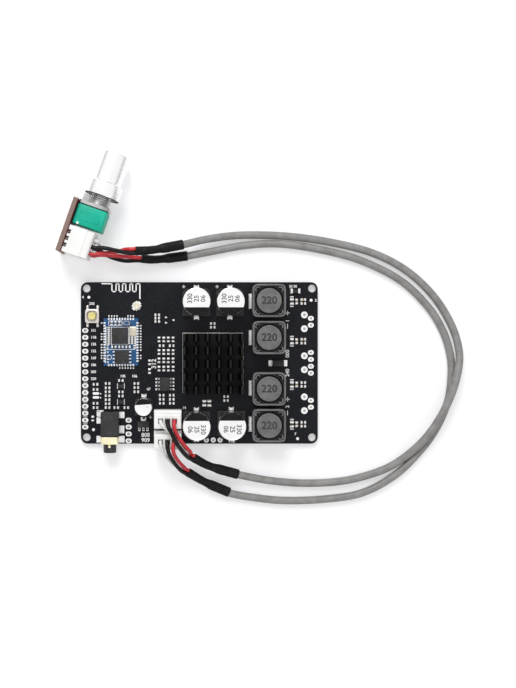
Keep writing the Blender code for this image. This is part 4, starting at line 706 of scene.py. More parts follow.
BRASS = plated("jack_brass", (0.93, 0.86, 0.55), (1.0, 0.96, 0.74), 0.75, stretch=(0.15, 1.0, 1.0))
POT_STEEL = plated("pot_steel", (0.22, 0.225, 0.225), (0.72, 0.72, 0.71), 1.0, (0.16, 0.4), (0.2, 0.2, 1.4))
KNOB_METAL = turned_metal("knob_aluminium", (0.93, 0.93, 0.935), (0.98, 0.98, 0.98), metallic=0.75)
SHAFT_METAL = turned_metal("shaft_aluminium", (0.6, 0.6, 0.6), (0.75, 0.75, 0.74), (0.25, 0.4))

CABLE_GREY = jacket("cable_grey", (0.21, 0.205, 0.2), (0.3, 0.293, 0.285))
SLEEVE_BLACK = jacket("sleeve_black", (0.0035, 0.0035, 0.0042), (0.0075, 0.0075, 0.0085), (0.45, 0.6),
                      dust=0.03, specular_ior_level=0.14)
WIRE_FINISHES = {
    "white": jacket("wire_white", (0.76, 0.76, 0.74), (0.86, 0.86, 0.84), (0.3, 0.42), 0.006),
    "black": jacket("wire_black", (0.003, 0.003, 0.003), (0.007, 0.007, 0.0075), (0.3, 0.42), 0.006, 0.02,
                    specular_ior_level=0.2),
    "red": jacket("wire_red", (0.5, 0.012, 0.022), (0.66, 0.022, 0.035), (0.24, 0.36), 0.006, 0.03),
}


def dress(names, material):
    """Give solids that keep their own shape a finish."""
    for name in names:
        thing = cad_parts[name]
        thing.data.materials.clear()
        thing.data.materials.append(material)


# Main board

def plated_hole(length, width, hole, sides=24):
    """Tinned pad round a hole. Its section runs pad edge, pad top, hole edge, down the hole and back."""
    pad = outline(length, width, width / 2, sides)
    bore = circle(hole / 2, sides)
    top = BOARD_TOP + PAD_LIFT
    rows = [(pad, BOARD_TOP), (pad * 0.97, top), (bore * 1.12, top), (bore, top - 0.05), (bore, 0.02),
            (bore * 1.12, -PAD_LIFT), (pad * 0.97, -PAD_LIFT), (pad, 0.0)]
    return risen(rows, ring=True)


def pad_rows():
    """Pads of the side, service, ring, speaker and sense rows, each at its holes, and the round targets."""
    step = np.arange(SIDE_PADS) * PAD_PITCH
    headers = grid(SIDE_ROW[:1], SIDE_ROW[1] - step)
    headers += grid(SERVICE_ROW[:1], SERVICE_ROW[1] - step[:SERVICE_PADS])
    rings = grid(RING_ROW[0] + step[:RING_PADS], RING_ROW[1:])
    target = turned([(0.55, BOARD_TOP), (0.52, BOARD_TOP + PAD_LIFT)], 20)
    return together(repeated(plated_hole(2.3, 1.8, 0.95), headers),
                    repeated(plated_hole(1.85, 1.85, 0.95), rings),
                    repeated(plated_hole(2.5, 2.5, 1.0), grid([SPEAKER_X], SPEAKER_ROWS)),
                    repeated(plated_hole(2.2, 1.8, 0.74), grid([SENSE_X], SENSE_ROWS)),
                    repeated(target, FIDUCIALS))


def empty_pads():
    """Bare tinned pads that carry no part: three pointed ones, two long ovals and the dots beside them."""
    point = np.array([(0.48, 0.0), (-0.4, 0.42), (-0.4, -0.42)])
    wedge = risen([(point, BOARD_TOP), (point * 0.96, BOARD_TOP + PAD_LIFT)])
    return together(repeated(wedge, [(-12.2, 16.8), (-12.2, 14.8), (-9.6, 15.8)], (0.0, 0.0, 180.0)),
                    repeated(land(2.4, 0.95, corner=0.45, sides=16), [(-38.1, -11.24), (-38.1, -12.7)]),
                    repeated(land(0.5, 0.45), [(-36.4, -11.35), (-36.4, -12.8)]))


def solder_cones():
    """Solder round the header pins under the board: a cone that thins towards the pin's tail."""
    cone = turned([(0.95, 0.0), (0.92, -0.06), (0.66, -0.14), (0.5, -0.24), (0.42, -0.36), (0.3, -0.39)], 20)
    return together(*[repeated(cone, grid(x + PINS, [y])) for x, y in HEADER_PLACES])


def antenna_trace():
    """Meander of bare tinned copper: it runs along the edge, then down and up between two lines."""
    top, bottom, foot = ANTENNA_LINES
    levels = [top] + [top, bottom, bottom, top] * 4 + [top, foot]
    points = list(zip(np.repeat(ANTENNA_STOPS, 2)[1:], levels))
    return bars(chained(points), 0.46, BOARD_TOP, PAD_LIFT, 0.04)


def tracks():
    """Copper tracks under the mask, as low ridges between parts of the board."""
    segments = [((x, -17.0), (x, 15.0)) for x in (-8.6, 17.2)]
    segments += [((x, 12.2), (x, 16.6)) for x in -6.4 + 2.6 * np.arange(4)]
    for y in 5.6 - 1.5 * np.arange(6):
        segments += chained([(-21.4, y), (-17.6, y), (-16.4, y - 1.2)])
    for y in -5.0 - 2.1 * np.arange(5):
        segments += [((-40.4, y), (-36.6, y + 0.8)), ((-32.6, y), (-30.2, y))]
    for y in (20.4, 6.2, -5.4, -20.2):
        segments += chained([(32.8, y), (36.2, y), (37.9, y + math.copysign(1.2, y))])
    return bars(segments, 0.45, BOARD_TOP, 0.018)


# Chip parts: length, width and height, then kind, size, turn, columns and rows
SMALL = (1.6, 0.8, 0.5)
LARGE = (2.0, 1.25, 0.8)
LONG = (3.2, 1.6, 0.9)
CHIP_ROWS = (
    ("resistors", SMALL, 90, (-14.85, -11.4, -9.65), (8.65, 4.0, 0.95, -2.1)),
    ("resistors", SMALL, 90, (-18.35,), (0.2, -3.0)),
    ("resistors", SMALL, 90, (-39.25,), (-20.5,)),
    ("resistors", SMALL, 0, (-15.5,), (17.7, 16.5, 15.3)),
    ("resistors", SMALL, 0, (-13.9, -10.2), (6.35,)),
    ("resistors", SMALL, 0, (-13.85, -10.15), (-11.9, -13.4, -14.9)),
    ("resistors", SMALL, 0, (-38.25,), (-7.9, -9.8, -14.9, -16.5)),
    ("resistors", SMALL, 0, (-33.8,), (-7.6, -9.2, -10.65)),
    ("resistors", SMALL, 0, (-28.9,), (-6.5, -10.7, -12.2)),
    ("resistors", SMALL, 0, (-30.6, -26.9), (-16.5,)),
    ("resistors", SMALL, 0, (-23.2,), (-7.6, -9.1, -10.65)),
    ("resistors", LONG, 0, (35.35,), (26.5,)),
    ("capacitors", SMALL, 90, (-13.1,), (8.65, 4.0, 0.95, -2.1)),
    ("capacitors", SMALL, 0, (-33.8,), (-12.1, -13.6, -15.05, -16.5)),
    ("capacitors", SMALL, 0, (4.95,), (14.5, 13.1)),
    ("capacitors", SMALL, 0, (9.85,), (-12.4, -13.85)),
    ("capacitors", SMALL, 0, (38.3,), (21.9, 7.3, -7.25, -8.65, -21.9, -23.3)),
    ("capacitors", LARGE, 90, (1.85, 3.7), (-14.85,)),
    ("capacitors", LARGE, 90, (34.1,), FILTER_ROWS),
    ("tan", SMALL, 90, (35.85,), FILTER_ROWS),
    ("tan", SMALL, 0, (38.3,), (23.3, 8.7)),
)
FILTER_CHIPS = ((-28.9, -8.55), (-28.9, -14.4))
AUDIO_PLACE = (-12.7, -7.8)
REGULATOR_PLACE = (-20.6, -22.6)
FUSE_PLACE = (28.9, -0.1)
LEAD_ROWS = 1.27 * (np.arange(4) - 1.5)


def chip_shells(size, low):
    """Body, metal ends and solder of one chip part: blocks, with a hollow slope of solder at each end."""
    length, width, height = size
    cap = min(0.29 * length, 0.6)
    cover = 0.015
    top = low + height + cover
    body = block(length - cap, width + cover, low + 0.01, top, 0.04, 0.03, 8, 1)
    end = block(cap + 2 * cover, width + 2 * cover, low + 0.01, top + cover, 0.06, 0.05, 8, 1)
    edge = length / 2
    reach = 0.16 + 0.04 * length
    pad = land(reach + cap, width + 0.2, low=low)
    slope = [(edge - 0.05, low), (edge + reach * 0.8, low + PAD_LIFT),
             (edge + reach * 0.5, low + 0.12 * height), (edge + reach * 0.2, low + 0.4 * height),
             (edge + 0.02, low + 0.8 * height), (edge - 0.05, low + 0.85 * height)]
    fillet = extruded(slope, width * 0.92, 0.6)
    ends = repeated(end, grid(SIDES * (length - cap) / 2, [0]))
    pads = repeated(pad, grid(SIDES * (edge + (reach - cap) / 2), [0]))
    return body, ends, together(pads, repeated(fillet, [(0, 0), (0, 0)], (0, 180)))


def chip_parts():
    """All chip parts of the board, gathered by kind."""
    shells = {kind: [] for kind in ("resistors", "capacitors", "tan", "ends", "joints")}
    for kind, size, turn, xs, ys in CHIP_ROWS:
        for name, shell in zip((kind, "ends", "joints"), chip_shells(size, BOARD_TOP)):
            shells[name].append(repeated(shell, grid(xs, ys), turn))
    piece("chip_resistors", together(*shells["resistors"]), RESISTOR, "chip_black")
    piece("chip_capacitors", together(*shells["capacitors"]), CERAMIC, "chip_black")
    piece("tan_capacitors", together(*shells["tan"]), CERAMIC_TAN, "chip_black")
    piece("chip_ends", together(*shells["ends"]), TIN, "can_silver")
    piece("chip_joints", together(*shells["joints"]), SOLDER, "can_silver")


def gull_lead(reach, width, foot, shoulder, thickness=0.15):
    """Lead of a moulded chip: a flat strip that leaves the body, bends down and ends in a foot."""
    x = np.array([-0.15, 0.12, 0.25, 0.38, 0.5, 1.0]) * reach
    z = np.array([shoulder, shoulder, shoulder - 0.08, foot + 0.12, foot + thickness, foot + thickness])
    upper = np.column_stack([x, z])
    lower = upper[::-1] - np.array((thickness * 0.35, thickness))
    return extruded(np.concatenate([upper, lower]), width)


def lead_rows(half, lead):
    """Four leads on both X sides of a body."""
    return together(repeated(lead, grid([half], LEAD_ROWS)), repeated(lead, grid([-half], LEAD_ROWS), 180.0))


def moulded_chips():
    """Audio chip, regulator, fuse and sealed chips on the board, with the lands beside them."""
    low, foot, top = BOARD_TOP + 0.1, BOARD_TOP + 0.02, BOARD_TOP + 1.52
    dot = turned([(0.3, top - 0.02), (0.28, top + 0.01)], 16)
    audio = together(block(3.9, 4.94, low, top, 0.12, 0.16, 16), moved(dot, -1.3, 1.8))
    leads = lead_rows(1.92, gull_lead(1.08, 0.47, foot, BOARD_TOP + 0.85))
    regulator = block(4.42, 2.44, low, top, 0.1, 0.14, 16)
    legs = repeated(gull_lead(0.98, 0.48, foot, BOARD_TOP + 0.6), grid(1.5 * ROW, [-1.22]), -90.0)
    tab = block(1.64, 1.6, foot, BOARD_TOP + 0.42, 0.1, 0.05, 8, 1)
    fuse = block(4.3, 2.2, low, BOARD_TOP + 2.24, 0.2, 0.18, 16)
    clip = block(1.45, 2.3, BOARD_TOP, BOARD_TOP + 0.66, 0.2, 0.1, 16)
    hook = block(0.34, 1.9, BOARD_TOP, BOARD_TOP + 1.7, 0.1, 0.08, 16)
    clips = together(repeated(clip, grid(SIDES * 2.75, [0])), repeated(hook, grid(SIDES * 2.22, [0])))
    audio_lands = repeated(land(1.5, 0.66, 0.05, 0.1, 0.02), grid(SIDES * 2.75, LEAD_ROWS))
    leg_lands = repeated(land(0.8, 1.2, 0.05, 0.1, 0.02), grid(1.5 * ROW, [-1.9]))
    tab_land = moved(land(2.0, 1.3, 0.06, 0.1, 0.02), 0.0, 2.0)
    lands = together(moved(audio_lands, *AUDIO_PLACE), moved(together(leg_lands, tab_land), *REGULATOR_PLACE))
    piece("chip_lands", lands, SOLDER, "can_silver")
    sealed = block(2.04, 1.29, BOARD_TOP + 0.01, BOARD_TOP + 0.82, 0.1, 0.06, 8, 1)
    piece("filter_chips", repeated(sealed, FILTER_CHIPS), EPOXY, "chip_black")
    for name, shell, place, material, slot in (
            ("audio_chip_body", audio, AUDIO_PLACE, EPOXY, "chip_black"),
            ("audio_chip_leads", leads, AUDIO_PLACE, TIN, "can_silver"),
            ("regulator_body", regulator, REGULATOR_PLACE, EPOXY, "chip_black"),
            ("regulator_legs", together(legs, moved(tab, 0.0, 1.25)), REGULATOR_PLACE, TIN, "can_silver"),
            ("fuse_body", fuse, FUSE_PLACE, EPOXY, "chip_black"),
            ("fuse_clips", clips, FUSE_PLACE, TIN, "can_silver")):
        piece(name, moved(shell, *place), material, slot)


# Printed numbers: text, place, height and turn
LABELS = (
    ("205", (-39.6, 21.8), 1.0, 0), ("4", (-42.9, 24.2), 1.0, 0), ("3", (42.9, 23.0), 1.0, 0),
    ("1", (32.5, 15.5), 1.3, 90), ("2", (32.5, -16.1), 1.3, 90), ("000", (32.5, 3.4), 1.4, 90),
    ("240", (32.5, -3.6), 1.4, 90), ("26 28", (34.5, 28.2), 0.9, 0), ("7", (35.4, -26.2), 0.9, 0),
    ("312", (-16.7, -0.35), 1.75, 90), ("47", (-18.7, -9.7), 1.0, 0), ("105", (-28.2, -4.9), 0.95, 0),
    ("106", (-23.9, -4.9), 0.95, 0), ("14", (-5.6, -16.6), 1.0, 0), ("9", (-1.3, -28.9), 1.1, 0),
    ("108", (11.9, -28.9), 1.1, 0), ("808", (-19.8, -26.6), 1.5, 0), ("909", (-19.8, -28.5), 1.5, 0),
)


def crosses(places, arm):
    """Segments of upright crosses."""
    return ([((x - arm, y), (x + arm, y)) for x, y in places]
            + [((x, y - arm), (x, y + arm)) for x, y in places])


def board_print():
    """White print: the heatsink's outline, plus and minus signs, marks beside parts, and numbers."""
    half = SINK_SIDE / 2 + 0.08
    middle = np.array(SINK_PLACE) + (0.08, 0.12)
    square = [tuple(middle + half * np.array(corner)) for corner in CORNERS]
    signs = crosses([(32.5, 18.4), (32.5, -13.4)], 0.65)
    signs += [((32.5, 14.3), (32.5, 12.7)), ((32.5, -17.7), (32.5, -19.2))]
    ends = [((34.1 - 0.475, y), (34.1 + 0.475, y)) for row in FILTER_ROWS for y in row + SIDES * 1.75]
    sides = [((x, b - 0.9), (x, b + 0.9)) for a, b in FILTER_CHIPS for x in a + SIDES * 1.27]
    gaps = SIDE_ROW[1] - PAD_PITCH * (np.arange(7, SIDE_PADS - 1) + 0.5)
    between = [((-42.8, y), (-41.3, y)) for y in gaps]
    shells = [bars(segments, width, BOARD_TOP) for segments, width in (
        (chained(square, True), 0.26), (crosses([(-5.75, 28.1), (6.55, 28.1), (-18.0, -20.0)], 0.45), 0.34),
        (signs, 0.32), (ends, 0.5), (sides, 0.3), (between, 0.16))]
    rows = tuple((str(101 + 17 * i), (-39.0, SIDE_ROW[1] - i * PAD_PITCH), 0.95, 0) for i in range(8))
    shells += [numerals(text, height, BOARD_TOP, place, turn) for text, place, height, turn in rows + LABELS]
    return together(*shells)


def main_board():
    """The board's own finish, and everything that lies flat on it."""
    dress(["main_board"], SOLDER_MASK)
    piece("board_tracks", tracks(), SOLDER_MASK, "board_black")
    piece("plated_pads", together(pad_rows(), empty_pads()), TIN, "can_silver")
    piece("header_joints", solder_cones(), SOLDER, "can_silver")
    piece("antenna_trace", antenna_trace(), TIN, "can_silver")
    piece("board_print", board_print(), PRINT_WHITE, "header_white")
    chip_parts()
    moulded_chips()


# Heatsink

def heatsink():
    """Black cross-cut heatsink: a base plate, and fins that flare at the root and narrow to a round tip."""
    low, deck, tip = SINK_LEVELS
    base = block(SINK_SIDE, SINK_SIDE, low, deck, 0.2, 0.12, 16)
    rows = [(1.35, deck - 0.1, 0.0), (1.16, deck + 0.12, 0.0), (1.06, deck + 0.5, 0.0),
            (0.84, tip - 0.3, 0.0), (0.74, tip - 0.12, 0.06), (0.5, tip, 0.2)]
    fin = stacked([(wide, FIN_LENGTH - 0.06 - 2 * inset, 0.12, z) for wide, z, inset in rows], sides=12)
    places = grid(*(np.linspace(-1, 1, count) * reach
                    for count, reach in zip((FIN_COLUMNS, FIN_ROWS), FIN_SPREAD)))
    shell = moved(together(base, repeated(fin, places)), *SINK_PLACE)
    piece("heatsink_fins", shell, ANODISED, "anodised_black", ["heatsink"])


# Radio module

def module_edge(reach):
    """Places and turns of the pads round the module, each a distance inside or outside its edge: the right,
    left, upper and lower side."""
    long_run = MODULE_PITCH * (np.arange(MODULE_SIDE_PADS) - (MODULE_SIDE_PADS - 1) / 2)
    short_run = MODULE_PITCH * (np.arange(MODULE_END_PADS) - (MODULE_END_PADS - 1) / 2)
    x, y = MODULE_SIZE[0] / 2 + reach, MODULE_SIZE[1] / 2 + reach
    places = grid([x, -x], long_run) + [(v, side) for side in (y, -y) for v in short_run]
    turns = np.repeat([0.0, 180.0, 90.0, -90.0], [MODULE_SIDE_PADS] * 2 + [MODULE_END_PADS] * 2)
    return np.array(places) + MODULE_PLACE, turns


def module_pads():
    """Plated pads on the module's rim, solder down its notches, and the board's pads outside it."""
    rim = land(0.7, 0.56, corner=0.08, low=MODULE_TOP)
    slope = [(-0.1, BOARD_TOP), (0.3, BOARD_TOP + 0.04), (0.14, SEAT + 0.1), (0.02, SEAT + 0.5),
             (-0.02, MODULE_TOP), (-0.1, MODULE_TOP)]
    joint = extruded(slope, 0.56, 0.7)
    dot = land(0.6, 0.52, 0.06, 0.16, 0.03)
    places, turns = module_edge(0.85)
    first_end = 2 * MODULE_SIDE_PADS
    # Pads that are there, from above on the right and left side, from the left on the upper and lower side
    kept = [MODULE_SIDE_PADS - 1 - i for i in (*range(1, 11), 12, 13)]
    kept += [first_end - 1 - i for i in (0, 4, 5, 6, 8, 9, 10, 11, 12, 13)]
    kept += [first_end + i for i in (0, 1, 2, 3, 7, 8, 9)]
    kept += [first_end + MODULE_END_PADS + i for i in range(4, 10)]
    return together(repeated(rim, *module_edge(-0.33)), repeated(joint, *module_edge(0.0)),
                    repeated(dot, places[kept], turns[kept]))


# Chip parts of the module: size, turn, columns and rows, seen from its middle
MODULE_CHIPS = (
    ((0.9, 0.45, 0.33), 0, (-5.1, -3.95), (5.3, 4.55, 3.8, 3.05, 2.3, 1.55, 0.8, 0.05, -0.7)),
    ((0.9, 0.45, 0.33), 0, (3.55, 4.7), (1.75, 1.0, 0.25, -0.5)),
    ((0.9, 0.45, 0.33), 0, (-5.2,), (-3.7, -5.0, -6.3, -7.4)),
    ((1.5, 0.8, 0.45), 0, (-2.6, 0.0, 2.6), (-1.75,)),
    ((1.0, 0.6, 0.35), 90, (-3.4, -2.0, -0.6), (6.9,)),
    ((1.0, 0.6, 0.35), 90, (-4.9, 4.9), (-1.75,)),
)
MODULE_FRAMES = (
    [(-4.5, 6.1), (-4.5, 7.75), (0.4, 7.75), (0.4, 6.1)],
    [(3.0, 2.2), (3.0, 5.65), (5.7, 5.65), (5.7, 2.2)],
    [(-3.55, -0.85), (-3.55, 5.45), (2.75, 5.45), (2.75, -0.85)],
)


def module_parts():
    """Crystal, coil, chips, chip parts and print of the module, over the raised places of its solid."""
    crystal = together(block(2.5, 3.2, MODULE_TOP, MODULE_TOP + 0.6, 0.2, 0.06, 16),
                       block(2.2, 2.9, MODULE_TOP + 0.5, MODULE_TOP + 0.73, 0.25, 0.06, 16))
    coil_rows = [(1.3, 0.0), (1.36, 0.25), (1.3, 0.7), (1.05, 0.93), (0.8, 0.88)]
    coil_rows = [(2 * r + 0.05, 1.58 * r / 1.3, 0.7 * r / 1.3, MODULE_TOP + z) for r, z in coil_rows]
    bodies, metal = [], []
    for size, turn, xs, ys in MODULE_CHIPS:
        body, ends, joints = chip_shells(size, MODULE_TOP)
        bodies.append(repeated(body, grid(xs, ys), turn))
        metal.append(repeated(together(ends, joints), grid(xs, ys), turn))
    lines = [((-5.7, -2.75), (5.0, -2.75)), ((5.45, -2.4), (5.45, 2.0))]
    for corners in MODULE_FRAMES:
        lines += chained(corners, True)
    top = MODULE_TOP + PRINT_LIFT
    ring = turned([(0.95, MODULE_TOP), (0.95, top), (0.7, top), (0.7, MODULE_TOP)], 24, ring=True)
    marks = together(bars(lines, 0.26, MODULE_TOP), moved(ring, -4.3, -5.6))
    seat = MODULE_TOP + GAP
    radio = together(block(5.8, 5.8, seat, seat + 0.9, 0.12, 0.06, 16),
                     moved(turned([(0.26, 0.88), (0.24, 0.915)], 16), -2.2, 2.2, seat))
    memory = block(5.2, 4.9, seat + 0.1, seat + 1.6, 0.12, 0.14, 16)
    leads = lead_rows(2.55, gull_lead(0.85, 0.45, MODULE_TOP + 0.02, seat + 0.7))
    for name, shell, x, y, material, slot, solids in (
            ("crystal_can", crystal, 4.4, 3.9, CRYSTAL_CAN, "socket_gold", []),
            ("oval_coil", stacked(coil_rows, sides=24), 2.1, 6.9, COIL_CLAY, "header_white", []),
            ("module_chip_bodies", together(*bodies), 0, 0, CERAMIC, "chip_black", []),
            ("module_chip_metal", together(*metal), 0, 0, TIN, "can_silver", []),
            ("module_print", marks, 0, 0, PRINT_WHITE, "header_white", []),
            ("radio_chip", radio, -0.4, 2.3, EPOXY, "chip_black", ["bluetooth_chip"]),
            ("memory_chip", memory, 0.4, -5.5, EPOXY, "chip_black", ["flash_chip"]),
            ("memory_chip_leads", leads, 0.4, -5.5, TIN, "can_silver", [])):
        piece(name, moved(shell, MODULE_PLACE[0] + x, MODULE_PLACE[1] + y), material, slot, solids)


def radio_module():
    """Blue module with its pads and parts."""
    dress(["bluetooth_board"], BLUE_MASK)
    piece("module_pads", module_pads(), TIN, "can_silver")
    module_parts()


# Capacitors

def can(radius, foot, height):
    """Drawn can: a crimp above its foot, a round shoulder, and a top that dips slightly inside its rim."""
    top = foot + height
    groove = [(radius - 0.4 * math.sin(a), foot + 1.4 + a * 0.32) for a in np.linspace(0, math.pi, 9)]
    shoulder = [(radius - CAN_SHOULDER * (1 - math.cos(a)), top - CAN_SHOULDER * (1 - math.sin(a)))
                for a in np.linspace(0, math.pi / 2, 6)]
    profile = [(radius - 0.6, foot), (radius - 0.15, foot + 0.12), (radius, foot + 0.5), *groove, *shoulder,
               (radius - 0.36, top - 0.01), (radius - 0.44, top - 0.05), (radius - 0.8, top - CAN_DIP)]
    return turned(profile, 96)


def cap_segment(radius, chord, top, sides=48):
    """Printed segment of a can's top beyond a chord on +Y, run on over the shoulder: at the angle s of a
    shoulder r it reaches radius - r(1 - cos s), at the height top - r(1 - sin s), a little outside."""
    half = math.acos(chord / radius)
    angle = np.linspace(math.pi / 2 - half, math.pi / 2 + half, sides)
    rows = []
    for s in np.linspace(0.85, math.pi / 2, 5):
        reach = radius + 0.015 - CAN_SHOULDER * (1 - math.cos(s))
        shape = reach * np.stack([np.cos(angle), np.sin(angle)], axis=-1)
        shape[:, 1] = np.maximum(shape[:, 1], chord)
        rows.append((shape, top + 0.012 - CAN_SHOULDER * (1 - math.sin(s))))
    return risen(rows)


def can_tab(radius):
    """Tinned tab of a can's base on +Y, with its pad and solder."""
    slope = [(-0.5, 1.62), (0.75, 1.64), (0.66, 1.75), (0.58, 2.05), (0.52, 2.25), (-0.5, 2.3)]
    solder = repeated(extruded(slope, 1.4, 0.7), [(0, 0)], 90.0)
    tab = block(1.3, 1.3, 1.87, 2.39, 0.1, 0.05, 12, 1)
    pad = land(1.9, 1.5, 0.05, 0.15, 0.02, 12)
    return together(moved(tab, 0, radius + 0.5), moved(pad, 0, radius + 0.65), moved(solder, 0, radius + 0.7))


def capacitor(label, place, size, mark_turn, tab_turns, print_shell):
    """Can, its printed top and numbers, and its tabs."""
    radius, height, chord = size
    top = CAN_FOOT + height
    piece(f"can_{label}", moved(can(radius, CAN_FOOT, height), *place), CAN_METAL, "can_silver",
          [f"capacitor_can_{label}"])
    piece(f"can_mark_{label}", repeated(cap_segment(radius, chord, top), [place], mark_turn), PRINT_BLACK,
          "base_black")
    piece(f"can_numbers_{label}", moved(print_shell, *place, top - CAN_DIP), PRINT_GREY, "base_black")
    tabs = repeated(can_tab(radius), [place] * len(tab_turns), tab_turns)
    piece(f"can_tabs_{label}", tabs, SOLDER, "can_silver")


def capacitors():
    """Four large cans and a small one on their black bases. The black side of the large ones lies inwards."""
    dress([f"capacitor_base_{label}" for label in ("1", "2", "3", "4", "small")], BASE_PLASTIC)
    for label, place in enumerate(CAN_PLACES, 1):
        way = 1 if place[1] > 0 else -1
        lines = [numerals(text, 1.75, 0.0, (way * (i - 1) * 2.35, way * 1.0), 90 * way, 0.04)
                 for i, text in enumerate(("330", "25", "06"))]
        capacitor(str(label), place, LARGE_CAN, 180.0 if way > 0 else 0.0, (0.0, 180.0), together(*lines))
    dash = bars([((1.1, 0.1), (1.9, 0.1))], 0.16, 0.0)
    capacitor("small", SMALL_CAN_PLACE, SMALL_CAN, 4.0, (0.0,), dash)


# Inductors

def squircle(side, angle, power):
    """Square with round corners by direction: radius = side/2 / (|cos a|^p + |sin a|^p)^(1/p)."""
    reach = (np.abs(np.cos(angle)) ** power + np.abs(np.sin(angle)) ** power) ** (-1 / power)
    return side / 2 * reach[:, None] * np.stack([np.cos(angle), np.sin(angle)], axis=-1)


def inductor_shield(sides=128):
    """Square ferrite shield: up the outside, over a round edge, across the rim and down the bore."""
    angle = (np.arange(sides) + 0.5) * TURN / sides
    rows = [(11.8, OUTSIDE_POWER, 2.2), (12.0, OUTSIDE_POWER, 2.4)]
    rows += [(12.0 - 0.6 * (1 - math.cos(t)), OUTSIDE_POWER, 9.4 + 0.3 * math.sin(t))
             for t in np.linspace(0, math.pi / 2, 5)]
    rows += [(11.1, OUTSIDE_POWER, 9.69), (10.9, 8.4, 9.66), (10.72, BORE_POWER, 9.52),
             (10.62, BORE_POWER, 9.3), (10.6, BORE_POWER, 3.2), (10.2, BORE_POWER, 3.1)]
    return risen([(squircle(side, angle, power), height) for side, power, height in rows])


def inductor_core():
    """Drum core: two flanges round a waist wound with wire."""
    return turned([(4.3, 3.4), (4.55, 3.6), (4.55, 5.2), (3.0, 5.5), (3.0, 7.3), (4.55, 7.6), (4.55, 9.1),
                   (4.46, 9.3), (4.25, 9.4), (4.0, 9.4)], 96)


def inductor_winding(turns=4):
    """Turns of wire on the waist, each a small bulge."""
    t = np.linspace(0, turns, turns * 8 + 1)
    outer = np.column_stack([4.1 + 0.16 * np.abs(np.sin(math.pi * t)), 5.45 + t * 0.475])
    return turned([(3.2, 5.45), *outer, (3.2, 7.35)], 48, ring=True)


def corner_fill(sides=96):
    """Glue that fills the bore's corners: between a circle round the core and the bore's own outline."""
    angle = (np.arange(sides) + 0.5) * TURN / sides
    ring = circle(5.0, sides)
    wall = squircle(10.64, angle, BORE_POWER)
    return risen([(wall, 8.0), (wall, 8.7), (ring * 1.01, 8.65), (ring, 8.5), (ring, 8.0)], ring=True)


def corner_wires():
    """End of the winding in each corner: a bent loop of wire lying over its pocket."""
    angle = np.linspace(-1.9, 1.9, 20)
    loop = np.column_stack([0.1 + 0.55 * np.cos(angle), 0.85 * np.sin(angle),
                            8.92 + 0.08 * np.cos(2 * angle)])
    return repeated(carried(circle(0.15, 8), loop), POCKETS, (135.0, 45.0, -45.0, -135.0))


def inductor_terminals():
    """Tinned plates: each runs out from under the shield and turns up its side."""
    pads = []
    for turn, reach in ((180.0, 6.95), (0.0, 6.65)):
        path = [(5.0, SEAT), (reach - 0.2, SEAT), (reach, 1.98), (reach + 0.02, 2.2), (reach - 0.1, 2.5),
                (5.0, 2.5)]
        pad = land(reach - 4.9, 5.6, 0.05, 0.15, 0.02, 12)
        plate = block(0.2, 5.4, 2.3, 4.3, 0.08, 0.05, 12, 1)
        half = together(extruded(path, 5.3), moved(pad, (reach + 5.1) / 2), moved(plate, 6.1))
        pads.append(repeated(half, [(0, 0)], turn))
    return together(*pads)


def inductors():
    """Four shielded coils with their value in numerals."""
    kinds = (
        ("shield", inductor_shield(), SHIELD, "shield_grey"),
        ("fill", corner_fill(), COIL_GLUE, "shield_grey"),
        ("pockets", repeated(turned([(0.62, 8.65), (0.6, 8.74)], 20), POCKETS), PRINT_BLACK, "chip_black"),
        ("core", inductor_core(), CORE, "core_grey"),
        ("winding", inductor_winding(), WINDING, "jack_brass"),
        ("wires", corner_wires(), WIRE_ENDS, "shield_grey"),
        ("terminals", inductor_terminals(), TERMINAL, "can_silver"),
        ("number", numerals("220", 2.75, 9.4, (0, 0), 0.0, 0.1), PRINT_FERRITE, "chip_black"))
    for label, y in enumerate(COIL_ROWS, 1):
        for kind, shell, material, slot in kinds:
            solids = [f"inductor_{kind}_{label}"] if kind in ("shield", "core") else []
            piece(f"coil_{kind}_{label}", moved(shell, COIL_X, y), material, slot, solids)


# Mode switch

def mode_switch():
    """Tact switch: a plated cover with a round edge and a mouth, four legs in solder, and its button."""
    cover = [(4.9, 0.8, SEAT), (5.1, 0.85, 2.05), (5.1, 0.85, 4.2), (4.98, 0.8, 4.42), (4.7, 0.75, 4.5),
             (4.0, 1.5, 4.5), (3.86, 1.45, 4.4), (3.7, 1.4, 3.02), (3.6, 1.3, 2.72)]
    cap = [(2.7, 1.05, 3.25), (2.7, 1.05, 4.75), (2.62, 1.02, 5.0), (2.4, 0.95, 5.13), (2.1, 0.85, 5.18),
           (1.8, 0.75, 5.14), (1.1, 0.5, 5.12)]
    cover, cap = (stacked([(side, side, *rest) for side, *rest in rows]) for rows in (cover, cap))
    legs_x = SIDES * 1.86
    legs = repeated(block(0.8, 6.9, SEAT, SEAT + 0.36, 0.1, 0.06, 8, 1), grid(legs_x, [0]))
    drop = turned([(0.6, BOARD_TOP), (0.56, 1.75), (0.48, 2.05), (0.34, 2.34), (0.12, 2.42)], 20)
    bar = land(0.9, 1.5, 0.12, 0.3, 0.06, 12)
    drops = together(repeated(drop, grid(legs_x, SIDES * 3.55)), repeated(bar, grid(legs_x, SIDES * 3.1)))
    piece("switch_cover", moved(together(cover, legs), *SWITCH_PLACE), SWITCH_STEEL, "switch_metal",
          ["mode_switch_body"])
    piece("switch_joints", moved(drops, *SWITCH_PLACE), SOLDER, "can_silver")
    piece("mode_button_cap", moved(cap, *SWITCH_PLACE), BUTTON_CREAM, "button_cream", ["mode_button"],
          "mode_button")


# Antenna socket

